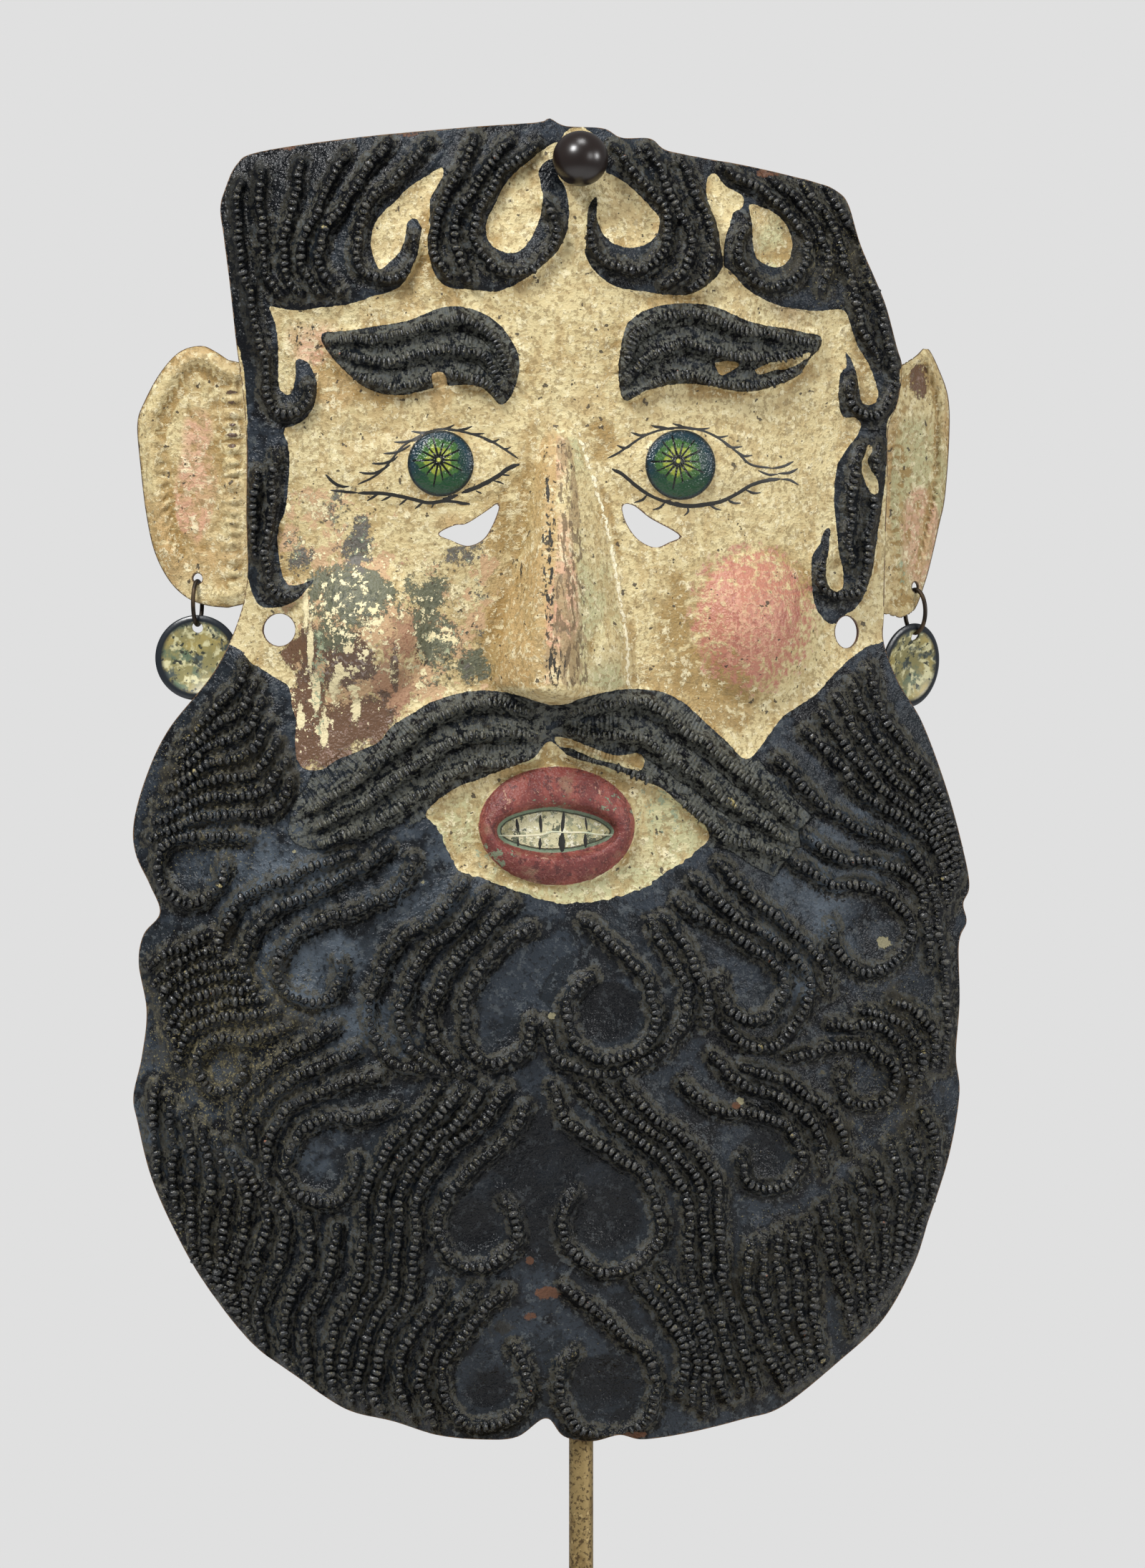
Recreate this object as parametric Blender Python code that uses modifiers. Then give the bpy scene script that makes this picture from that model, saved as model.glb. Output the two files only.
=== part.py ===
# Bearded man mask: a painted, hammered copper sheet on a slim rod stand.
# Metres, +Z up. The mask looks along -Y, and the origin is under the middle of the foot.
# The sheet is drawn as it is seen from the front, in drawing units: x to the right, y down.
# The drawing's height is the sheet's real height, so every place on the sheet is a share of it.

import math

import bmesh
import bpy
import numpy as np
from mathutils import Vector
from mathutils.geometry import delaunay_2d_cdt
from mathutils.kdtree import KDTree

MM = 0.001

# The copper sheet.
SHEET_HEIGHT = 491.0 * MM
SHEET_THICKNESS = 1.0 * MM
SHEET_SAG = 52.0 * MM            # how far its sides curve back from its middle
SHEET_TURN = 0.18                # how far its right side stands back, per length across
CROWN_LEAN = 14.0 * MM           # how far the hair's top edge curves back
CHIN_LEAN = 31.0 * MM            # how far the beard's lower edge curves back
STRAP_HOLE_DIAMETER = 12.0 * MM

# The raised work.
LOCK_WIDTH = 8.6 * MM
LOCK_HEIGHT = 3.6 * MM
LOCK_BED_HEIGHT = 1.6 * MM       # the swelling that a group of locks stands on
NOSE_HEIGHT = 30.0 * MM
CHEEK_HEIGHT = 12.0 * MM
LIP_HEIGHT = 6.5 * MM
IRIS_HEIGHT = 3.2 * MM
LID_HEIGHT = 2.2 * MM

# The ears and earrings.
EAR_THICKNESS = 1.0 * MM
EAR_RIM_HEIGHT = 3.0 * MM
EAR_LAP = 7.0 * MM               # how far an ear reaches behind the sheet
EAR_LAP_CLEARANCE = 0.6 * MM
LEFT_EAR_SLOPE = 0.36            # how fast each ear goes back, per length across
RIGHT_EAR_SLOPE = 1.28
EAR_HOLE_DIAMETER = 4.0 * MM
HOOP_WIRE_DIAMETER = 1.6 * MM
HOOP_DEPTH = 11.0 * MM
HOOP_HEIGHT = 17.8 * MM
DISC_DIAMETER = 31.2 * MM
DISC_THICKNESS = 1.0 * MM
DISC_DISH = 2.2 * MM
DISC_RIM_WIDTH = 3.4 * MM
DISC_HOLE_DIAMETER = 4.2 * MM
DISC_HOLE_INSET = 4.4 * MM       # from the disc's top edge to the middle of its hole
LEFT_DISC_TURN = math.radians(-8.0)
RIGHT_DISC_TURN = math.radians(48.0)
LEFT_DISC_LEAN = 0.0
RIGHT_DISC_LEAN = math.radians(10.0)

# The stand.
KNOB_DIAMETER = 20.6 * MM
SHANK_DIAMETER = 5.0 * MM
SHANK_CLEARANCE = 1.0 * MM
ROD_DIAMETER = 9.0 * MM
ROD_BEND_RADIUS = 14.0 * MM
FOOT_DIAMETER = 200.0 * MM
FOOT_THICKNESS = 12.0 * MM
FOOT_EDGE_BEVEL = 1.5 * MM
BEARD_ABOVE_FOOT = 83.0 * MM
TOUCH_GAP = 0.3 * MM             # between pieces that touch

# Where the drawing lies, in drawing units.
DRAWING_TOP = 164
DRAWING_BOTTOM = 2017
DRAWING_ROD_X = 812
DRAWING_MIDDLE_X = 778
DRAWING_HALF_WIDTH = 566
UNIT = SHEET_HEIGHT / (DRAWING_BOTTOM - DRAWING_TOP)

OUTLINE = [
    (307, 290), (314, 262), (330, 228), (361, 211), (493, 192), (657, 177), (752, 170), (767, 164), (790, 175),
    (843, 178), (868, 191), (909, 192), (931, 208), (986, 219), (1051, 230), (1139, 250), (1172, 263),
    (1188, 282), (1205, 339), (1238, 416), (1256, 480), (1264, 512), (1257, 560), (1244, 596), (1243, 660),
    (1240, 760), (1238, 854), (1238, 898), (1259, 953), (1292, 1008), (1325, 1095), (1347, 1172), (1360, 1237),
    (1351, 1264), (1356, 1290), (1345, 1320), (1346, 1402), (1341, 1478), (1346, 1533), (1331, 1621),
    (1303, 1708), (1281, 1774), (1237, 1851), (1172, 1911), (1095, 1971), (1040, 1988), (964, 2006), (898, 2015),
    (866, 2008), (827, 2017), (788, 2010), (763, 1984), (723, 2010), (679, 2014), (613, 2008), (548, 1988),
    (482, 1971), (416, 1927), (350, 1878), (285, 1796), (241, 1719), (208, 1643), (190, 1570), (184, 1533),
    (196, 1478), (203, 1413), (192, 1347), (199, 1306), (222, 1276), (208, 1237), (188, 1194), (185, 1150),
    (203, 1084), (235, 1018), (296, 942), (329, 876), (345, 810), (344, 720), (344, 613), (338, 540), (330, 482),
    (321, 400), (312, 330),
]
LEFT_SLIT = [(613, 746), (636, 734), (652, 732), (682, 713), (695, 704), (697, 712), (687, 737), (674, 755),
             (653, 763), (630, 755)]
RIGHT_SLIT = [(870, 706), (886, 706), (910, 724), (940, 740), (952, 750), (937, 757), (922, 764), (908, 763),
              (889, 751), (874, 728)]
LEFT_STRAP_HOLE = (390, 880)
RIGHT_STRAP_HOLE = (1185, 882)
KNOB_HOLE = (811, 222)

LEFT_EAR = [(350, 508), (318, 502), (300, 490), (280, 482), (250, 490), (222, 520), (199, 562), (190, 592),
            (195, 655), (203, 720), (215, 772), (236, 812), (262, 836), (290, 846), (318, 849), (350, 845)]
RIGHT_EAR = [(1238, 862), (1262, 862), (1282, 850), (1297, 812), (1306, 780), (1318, 728), (1326, 690),
             (1332, 610), (1331, 552), (1318, 512), (1300, 480), (1284, 492), (1262, 506), (1238, 520)]
LEFT_EAR_JOINT_X = 345
RIGHT_EAR_JOINT_X = 1240
LEFT_EAR_HOLE = (275, 808)
RIGHT_EAR_HOLE = (1283, 818)
EAR_RIM_INSET = 17               # from an ear's outline to the crest of its rim
RIGHT_EAR_RIM_INSET = 9

# Groups of locks: the first and the last lock of each, and how many locks there are.
LOCK_FANS = [
    # Beard, left: fans that pour out from the face and down.
    ([(341, 928), (322, 962), (290, 993), (252, 1035)], [(403, 1088), (372, 1131), (291, 1134), (206, 1166)], 5),
    ([(490, 1186), (408, 1218), (336, 1251), (308, 1297), (304, 1345)],
     [(542, 1179), (463, 1228), (388, 1264), (345, 1305), (341, 1350), (353, 1390)], 2),
    ([(643, 1231), (610, 1274), (558, 1306), (522, 1365), (516, 1424), (542, 1474), (587, 1491)],
     [(715, 1257), (666, 1303), (623, 1352), (602, 1404), (606, 1450), (632, 1482), (660, 1496)], 3),
    ([(291, 1303), (255, 1316), (222, 1333), (203, 1349)],
     [(385, 1409), (323, 1416), (264, 1432), (247, 1472), (250, 1498)], 6),
    ([(466, 1429), (414, 1460), (351, 1509), (330, 1554), (330, 1590)],
     [(528, 1495), (462, 1514), (407, 1540), (372, 1585), (372, 1637)], 3),
    ([(612, 1515), (570, 1564), (532, 1609), (508, 1665), (503, 1740), (496, 1790), (470, 1840), (456, 1900)],
     [(705, 1519), (664, 1568), (615, 1609), (582, 1665), (577, 1740), (568, 1810), (534, 1866), (519, 1936)], 3),
    ([(617, 1797), (580, 1852), (555, 1895), (559, 1945)], [(660, 1797), (612, 1859), (586, 1915), (592, 1955)], 2),
    ([(211, 1520), (212, 1606), (224, 1670), (243, 1735)],
     [(368, 1650), (397, 1710), (382, 1769), (358, 1832), (362, 1880)], 5),
    ([(430, 1700), (427, 1759), (396, 1828), (396, 1890)], [(466, 1713), (457, 1776), (424, 1840), (427, 1915)], 2),
    # Beard, right.
    ([(1214, 935), (1245, 1012), (1292, 1066), (1328, 1135), (1346, 1215)],
     [(1131, 1019), (1171, 1062), (1212, 1110), (1265, 1143), (1313, 1187), (1328, 1268)], 3),
    ([(1090, 1062), (1134, 1106), (1181, 1143), (1245, 1170), (1290, 1204), (1314, 1290), (1326, 1400), (1322, 1495)],
     [(1131, 1167), (1181, 1197), (1245, 1204), (1282, 1231), (1297, 1285), (1302, 1350)], 2),
    ([(1006, 1207), (1067, 1265), (1114, 1302), (1150, 1345), (1161, 1385)],
     [(972, 1227), (1020, 1271), (1077, 1308), (1121, 1345), (1128, 1395), (1095, 1447), (1050, 1460),
      (1015, 1435)], 2),
    ([(930, 1280), (962, 1330), (985, 1385), (985, 1430)], [(908, 1290), (938, 1335), (958, 1385), (950, 1430),
                                                          (900, 1480), (844, 1495), (785, 1480), (761, 1430)], 2),
    ([(1251, 1397), (1285, 1412), (1307, 1450), (1308, 1495)],
     [(1164, 1429), (1226, 1432), (1262, 1460), (1271, 1502), (1271, 1540)], 2),
    ([(1042, 1488), (1105, 1512), (1157, 1550), (1190, 1610)],
     [(997, 1477), (1039, 1512), (1098, 1536), (1139, 1575), (1157, 1640)], 2),
    ([(872, 1515), (914, 1557), (962, 1595), (997, 1644), (1004, 1703), (1007, 1770), (1020, 1820), (1040, 1885)],
     [(813, 1515), (855, 1561), (907, 1602), (948, 1647), (962, 1703), (962, 1770), (980, 1842), (997, 1901)], 2),
    ([(889, 1790), (935, 1845), (955, 1895)], [(925, 1775), (955, 1814), (978, 1860), (985, 1930)], 2),
    ([(1046, 1740), (1043, 1797), (1060, 1866), (1085, 1915)],
     [(1128, 1710), (1135, 1785), (1140, 1850), (1145, 1890)], 3),
    ([(1168, 1680), (1170, 1740), (1188, 1800), (1195, 1850)],
     [(1290, 1560), (1310, 1620), (1297, 1680), (1270, 1745)], 4),
    # Hair and sideburns.
    ([(361, 240), (364, 320), (372, 380), (390, 414)], [(537, 197), (479, 279), (446, 334), (446, 372), (476, 406)], 4),
    ([(661, 192), (637, 242), (608, 300), (606, 345), (625, 388)],
     [(708, 195), (669, 245), (637, 300), (635, 345), (658, 392)], 2),
    ([(949, 214), (974, 269), (995, 333), (988, 375), (962, 400)],
     [(905, 205), (939, 272), (965, 335), (955, 372), (928, 393)], 2),
    ([(1125, 252), (1164, 311), (1189, 381), (1205, 445), (1228, 500)], [(1080, 243), (1135, 298), (1157, 360),
                                                                      (1150, 402)], 2),
    ([(1202, 623), (1192, 684), (1188, 735), (1192, 785)], [(1205, 615), (1199, 684), (1195, 735), (1195, 760)], 1),
    ([(358, 660), (350, 720), (356, 775)], [(358, 660), (350, 720), (356, 775)], 1),
    # Eyebrows, then moustache.
    ([(462, 474), (560, 463), (635, 442), (690, 470), (710, 525)],
     [(475, 510), (540, 536), (620, 522), (665, 525), (695, 552)], 3),
    ([(1143, 473), (1040, 455), (950, 432), (890, 460), (868, 510)],
     [(1130, 492), (1060, 535), (950, 520), (905, 535), (878, 552)], 3),
    ([(750, 990), (666, 977), (600, 1003), (519, 1065), (431, 1130)],
     [(744, 1055), (650, 1068), (571, 1114), (500, 1155), (445, 1172)], 3),
    ([(800, 990), (892, 975), (962, 1019), (1040, 1080), (1114, 1148)],
     [(800, 1052), (875, 1073), (949, 1116), (1020, 1167), (1100, 1190)], 3),
]

# Curls: a lock that hooks round a flat eye. Each has its path, the eye's middle, and the degrees that it
# goes on round it: positive turns left, down, right and up as it is seen, and negative the other way.
CURLS = [
    ([(346, 1166), (300, 1164), (262, 1162)], (263, 1209), 270),
    ([(574, 1199), (550, 1240), (499, 1264), (437, 1284), (400, 1308), (385, 1345)], (430, 1350), 195),
    ([(738, 1290), (702, 1313), (665, 1352), (647, 1398), (647, 1434)], (693, 1434), 190),
    ([(403, 1427), (355, 1446), (300, 1448), (272, 1472)], (305, 1484), 205),
    ([(549, 1543), (514, 1554), (445, 1561), (410, 1584), (397, 1622)], (447, 1626), 190),
    ([(733, 1547), (695, 1595), (639, 1644), (614, 1690), (609, 1715)], (664, 1712), 215),
    ([(702, 1800), (646, 1859), (618, 1905), (615, 1932)], (676, 1930), 225),
    ([(1111, 1201), (1160, 1229), (1222, 1238), (1260, 1262)], (1218, 1298), -225),
    ([(949, 1258), (1003, 1291), (1057, 1322), (1086, 1350)], (1050, 1376), -225),
    ([(817, 1285), (860, 1318), (900, 1365), (914, 1405)], (852, 1414), -250),
    ([(1101, 1477), (1150, 1462), (1209, 1460), (1240, 1478)], (1214, 1506), -235),
    ([(955, 1515), (994, 1543), (1053, 1554), (1103, 1573), (1118, 1612)], (1077, 1618), -185),
    ([(771, 1519), (799, 1571), (855, 1606), (903, 1647), (921, 1696)], (853, 1705), -225),
    ([(792, 1797), (844, 1842), (900, 1891), (917, 1935)], (848, 1936), -225),
    ([(332, 255), (329, 310), (340, 382), (356, 450), (368, 508), (373, 545)], (401, 548), 195),
    ([(598, 197), (553, 242), (508, 289), (496, 345)], (538, 346), 195),
    ([(744, 203), (701, 237), (669, 287), (661, 325)], (718, 320), 235),
    ([(858, 206), (891, 243), (925, 285), (933, 320)], (878, 318), -225),
    ([(1018, 232), (1080, 272), (1120, 315), (1128, 355)], (1080, 345), -215),
    ([(1157, 258), (1202, 330), (1225, 404), (1244, 474), (1252, 530), (1243, 560)], (1218, 542), -165),
    ([(1230, 622), (1222, 690), (1214, 767), (1209, 800)], (1178, 798), -230),
    ([(383, 637), (377, 700), (370, 770), (371, 800)], (402, 800), 130),
]

# The nose, from its root down to its tip: height in the drawing, left foot, left and right side of the worn
# ridge, right foot, and the share of the nose's full height.
NOSE_SECTIONS = [
    (596, 762, 772, 794, 806, 0.04), (660, 744, 763, 795, 829, 0.30), (740, 731, 757, 793, 852, 0.52),
    (820, 714, 752, 791, 866, 0.74), (890, 694, 749, 790, 878, 0.91), (952, 683, 747, 789, 880, 1.0),
]
NOSE_UNDERSIDE = 14              # how far below the last section the nose meets the moustache
LIPS = ((778, 1154), (110, 84))
TEETH = ((777, 1161), (82, 33))
IRISES = [((616, 648), 47), ((951, 649), 50)]
LIDS = [((591, 655), (135, 55)), ((963, 650), (118, 58))]
CHEEKS = [((502, 881), (104, 104)), ((1061, 878), (92, 112))]

COPPER = ("painted_copper", (0.42, 0.36, 0.24), 0.6, 0.2)
EAR_PAINT = ("cream_paint", (0.55, 0.46, 0.28), 0.6, 0.0)
IRON_WIRE = ("blackened_wire", (0.05, 0.045, 0.04), 0.5, 0.8)
DISC_PAINT = ("disc_enamel", (0.20, 0.24, 0.12), 0.4, 0.2)
KNOB_WOOD = ("dark_knob", (0.03, 0.018, 0.014), 0.35, 0.0)
ROD_BRASS = ("speckled_brass", (0.45, 0.34, 0.15), 0.45, 0.7)


def place(x, y):
    """The place across and up, in metres, of a point of the drawing."""
    across = (x - DRAWING_ROD_X) * UNIT
    up = FOOT_THICKNESS + BEARD_ABOVE_FOOT + (DRAWING_BOTTOM - y) * UNIT
    return across, up


def shell_depth(x, y):
    """How far forward the plain curved sheet lies, before anything is raised in it."""
    across = (x - DRAWING_MIDDLE_X) / DRAWING_HALF_WIDTH
    crown = np.clip((450 - y) / 286, 0, 1.2)
    chin = np.clip((y - 1150) / 867, 0, 1.2)
    turn = SHEET_TURN * (x - DRAWING_MIDDLE_X) * UNIT
    return -SHEET_SAG * across ** 2 - turn - CROWN_LEAN * crown ** 2 - CHIN_LEAN * chin ** 2


def smooth_path(points, step):
    """Points about step apart, in drawing units, on a Catmull-Rom curve through the given points."""
    ends = [2 * np.subtract(points[0], 0) - points[1]] + [np.array(p, float) for p in points]
    ends = np.array(ends + [2 * np.array(points[-1], float) - points[-2]])
    path = []
    for a, b, c, d in zip(ends, ends[1:], ends[2:], ends[3:]):
        count = max(2, math.ceil(np.linalg.norm(c - b) / step))
        for t in np.arange(count) / count:
            path.append(0.5 * (2 * b + (c - a) * t + (2 * a - 5 * b + 4 * c - d) * t ** 2
                               + (3 * b - a - 3 * c + d) * t ** 3))
    return np.array(path + [ends[-2]])


def closed_path(points, step):
    """The same for a closed outline, without repeating its first point."""
    around = [points[-1], *points, points[0], points[1]]
    path = smooth_path(around, step)
    first = np.argmin(np.linalg.norm(path - np.array(points[0]), axis=1)[: len(path) // 2])
    last = len(path) // 2 + np.argmin(np.linalg.norm(path - np.array(points[0]), axis=1)[len(path) // 2:])
    return spaced(path[first:last + 1], step)[:-1]


def spaced(path, step):
    """Points evenly spaced along a path."""
    lengths = np.concatenate([[0], np.cumsum(np.linalg.norm(np.diff(path, axis=0), axis=1))])
    count = max(2, round(lengths[-1] / step) + 1)
    at = np.linspace(0, lengths[-1], count)
    return np.stack([np.interp(at, lengths, path[:, 0]), np.interp(at, lengths, path[:, 1])], axis=1)


def fan_locks(first, last, count):
    """The locks of a group, as shares of the way from its first lock to its last."""
    samples = 40
    a = smooth_path(first, 6)
    b = smooth_path(last, 6)
    a = spaced(a, np.linalg.norm(np.diff(a, axis=0), axis=1).sum() / samples)
    b = spaced(b, np.linalg.norm(np.diff(b, axis=0), axis=1).sum() / samples)
    length = min(len(a), len(b))
    return [a[:length] + (b[:length] - a[:length]) * k / max(1, count - 1) for k in range(count)]


def curl_lock(path, eye, sweep):
    """A lock that runs along its path and then hooks round its eye."""
    start = smooth_path(path, 6)
    reach = start[-1] - eye
    radius = np.linalg.norm(reach)
    begin = math.atan2(-reach[1], reach[0])
    turns = np.radians(np.linspace(0, sweep, max(4, int(abs(sweep) / 8))))[1:]
    hook = [(eye[0] + radius * math.cos(begin + t), eye[1] - radius * math.sin(begin + t)) for t in turns]
    return np.concatenate([start, hook])


def all_locks():
    """The crest of every lock, and the bottom of the groove between each two locks of a group."""
    crests = [curl_lock(path, eye, sweep) for path, eye, sweep in CURLS]
    grooves = []
    for first, last, count in LOCK_FANS:
        lines = fan_locks(first, last, 2 * count - 1)
        crests += lines[::2]
        grooves += lines[1::2]
    return crests, grooves


def ring(middle, radii, count):
    return [(middle[0] + radii[0] * math.cos(2 * math.pi * k / count),
             middle[1] + radii[1] * math.sin(2 * math.pi * k / count)) for k in range(count)]


def inside(points, outline):
    """Which of the points lie within a closed outline."""
    points = np.asarray(points, float)
    result = np.zeros(len(points), bool)
    x, y = points[:, 0], points[:, 1]
    for (x0, y0), (x1, y1) in zip(outline, np.roll(outline, -1, axis=0)):
        if y0 == y1:
            continue
        crosses = (y0 > y) != (y1 > y)
        result ^= crosses & (x < x0 + (y - y0) / (y1 - y0) * (x1 - x0))
    return result


def edge_distance(points, outline):
    """How far each point lies from a closed outline."""
    points = np.asarray(points, float)
    nearest = np.full(len(points), np.inf)
    for a, b in zip(np.asarray(outline, float), np.roll(outline, -1, axis=0)):
        along = b - a
        share = np.clip(((points - a) @ along) / max(along @ along, 1e-9), 0, 1)
        nearest = np.minimum(nearest, np.linalg.norm(points - a - share[:, None] * along, axis=1))
    return nearest


def dome(x, y, middle, radii, power):
    """1 in the middle of an oval, falling to 0 at its edge."""
    r2 = ((x - middle[0]) / radii[0]) ** 2 + ((y - middle[1]) / radii[1]) ** 2
    return np.clip(1 - r2, 0, 1) ** power


def nose(x, y):
    """The nose's height at each point, as a share of its full height."""
    table = np.array(NOSE_SECTIONS, float).T
    left, ridge_left, ridge_right, right, share = (np.interp(y, table[0], row) for row in table[1:])
    rise = np.clip((x - left) / (ridge_left - left), 0, 1)
    fall = np.clip((right - x) / (right - ridge_right), 0, 1)
    root = np.clip((y - table[0][0] + 12) / 12, 0, 1)
    underside = np.clip((table[0][-1] + NOSE_UNDERSIDE - y) / NOSE_UNDERSIDE, 0, 1)
    return share * np.minimum(rise, fall) * root * underside


def lips(x, y):
    """The lips as a swollen ring round the teeth."""
    (mx, my), (ma, mb) = LIPS
    (tx, ty), (ta, tb) = TEETH
    outer = np.sqrt(((x - mx) / ma) ** 2 + ((y - my) / mb) ** 2)
    inner = np.sqrt(((x - tx) / ta) ** 2 + ((y - ty) / tb) ** 2)
    way = np.clip((1 - outer) / np.maximum(np.abs(1 - outer) + np.abs(inner - 1), 1e-6), 0, 1)
    return np.where((outer < 1) & (inner > 1), np.sin(np.pi * way) ** 0.7, 0.0)


def relief(points, lock_tree):
    """How far forward of the plain sheet each point of the drawing is raised."""
    x, y = np.asarray(points, float).T
    raised = NOSE_HEIGHT * nose(x, y) + LIP_HEIGHT * lips(x, y)
    for middle, radii in CHEEKS:
        raised = raised + CHEEK_HEIGHT * dome(x, y, middle, radii, 1.3)
    for middle, radii in LIDS:
        raised = raised + LID_HEIGHT * dome(x, y, middle, radii, 0.8)
    for middle, radius in IRISES:
        raised = raised + IRIS_HEIGHT * dome(x, y, middle, (radius, radius), 0.5)
    away = np.array([lock_tree.find((px, py, 0))[2] for px, py in zip(x, y)]) * UNIT
    locks = np.clip(1 - (away / (LOCK_WIDTH / 2)) ** 2, 0, 1) * LOCK_HEIGHT
    bed = np.clip(1.6 - away / LOCK_WIDTH, 0, 1) * LOCK_BED_HEIGHT
    return raised + locks + bed


def lock_tree_of(locks):
    fine = np.concatenate([spaced(lock, 4) for lock in locks])
    tree = KDTree(len(fine))
    for k, (x, y) in enumerate(fine):
        tree.insert((x, y, 0), k)
    tree.balance()
    return tree


class Net:
    """The points and fixed edges that a sheet's faces are drawn between."""

    def __init__(self, outline, holes):
        self.outline = np.array(outline)
        self.holes = [np.array(h) for h in holes]
        self.points = []
        self.edges = []
        for loop in (self.outline, *self.holes):
            first = len(self.points)
            self.points += [tuple(p) for p in loop]
            self.edges += [(first + k, first + (k + 1) % len(loop)) for k in range(len(loop))]

    def free(self, points, edge_room, room):
        """Which points lie on the sheet, clear of its edges by edge_room and of the net's points by room."""
        points = np.asarray(points, float)
        good = inside(points, self.outline) & (edge_distance(points, self.outline) > edge_room)
        for hole in self.holes:
            good &= ~inside(points, hole) & (edge_distance(points, hole) > edge_room)
        taken = np.array(self.points)
        for k in np.flatnonzero(good):
            good[k] = np.min(np.abs(taken - points[k]).max(axis=1)) > 0.2 * room and \
                np.min(np.linalg.norm(taken - points[k], axis=1)) > room
        return good

    def add_line(self, path, edge_room, room, closed=False):
        good = self.free(path, edge_room, room)
        last = None
        start = len(self.points)
        for k, point in enumerate(path):
            if not good[k]:
                last = None
                continue
            self.points.append(tuple(point))
            here = len(self.points) - 1
            if last is not None:
                self.edges.append((last, here))
            last = here
        if closed and good.all():
            self.edges.append((len(self.points) - 1, start))

    def add_points(self, points, edge_room, room):
        for point in points:
            if self.free([point], edge_room, room)[0]:
                self.points.append(tuple(point))

    def faces(self):
        points, _, faces, *_ = delaunay_2d_cdt([Vector(p) for p in self.points], self.edges, [], 0, 1e-4)
        points = np.array([tuple(p) for p in points])
        middles = np.array([points[list(f)].mean(axis=0) for f in faces])
        keep = inside(middles, self.outline)
        for hole in self.holes:
            keep &= ~inside(middles, hole)
        return points, [list(f) for f, k in zip(faces, keep) if k]


def turned_points(path, straight_step, turn):
    """Points along a path, closer together where it bends."""
    fine = spaced(path, 5)
    chosen = [fine[0]]
    heading = fine[1] - fine[0]
    run = 0.0
    for a, b in zip(fine, fine[1:]):
        run += np.linalg.norm(b - a)
        step = b - a
        angle = abs(math.atan2(heading[0] * step[1] - heading[1] * step[0], heading @ step))
        if run >= straight_step or angle > turn:
            chosen.append(b)
            heading = step
            run = 0.0
    if run > 0.4 * straight_step:
        chosen.append(fine[-1])
    return np.array(chosen)


def material(finish):
    name, colour, roughness, metallic = finish
    made = bpy.data.materials.get(name)
    if made is None:
        made = bpy.data.materials.new(name)
        made.use_nodes = True
        shader = made.node_tree.nodes["Principled BSDF"]
        shader.inputs["Base Color"].default_value = (*colour, 1)
        shader.inputs["Roughness"].default_value = roughness
        shader.inputs["Metallic"].default_value = metallic
        made.diffuse_color = (*colour, 1)
    return made


def add_object(name, data, finish, collection):
    piece = bpy.data.objects.new(name, data)
    data.materials.append(material(finish))
    collection.objects.link(piece)
    return piece


def shell_object(name, corners, faces, thickness, offset, finish, collection):
    """An open sheet that faces forward, given its thickness by a modifier."""
    mesh = bpy.data.meshes.new(name)
    mesh.from_pydata(corners, [], faces)
    work = bmesh.new()
    work.from_mesh(mesh)
    loose = [v for v in work.verts if not v.link_faces]
    bmesh.ops.delete(work, geom=loose, context="VERTS")
    bmesh.ops.recalc_face_normals(work, faces=work.faces)
    if sum(f.normal.y * f.calc_area() for f in work.faces) > 0:
        bmesh.ops.reverse_faces(work, faces=work.faces)
    work.to_mesh(mesh)
    work.free()
    piece = add_object(name, mesh, finish, collection)
    wall = piece.modifiers.new("wall", "SOLIDIFY")
    wall.thickness = thickness
    wall.offset = offset
    wall.use_even_offset = False
    return piece


def sheet_object(name, points, faces, depths, thickness, finish, collection):
    """An open sheet from the drawing, lifted to its depths and thickened behind."""
    corners = []
    for (x, y), depth in zip(points, depths):
        across, up = place(x, y)
        corners.append((across, -depth, up))
    return shell_object(name, corners, faces, thickness, -1, finish, collection)


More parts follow.
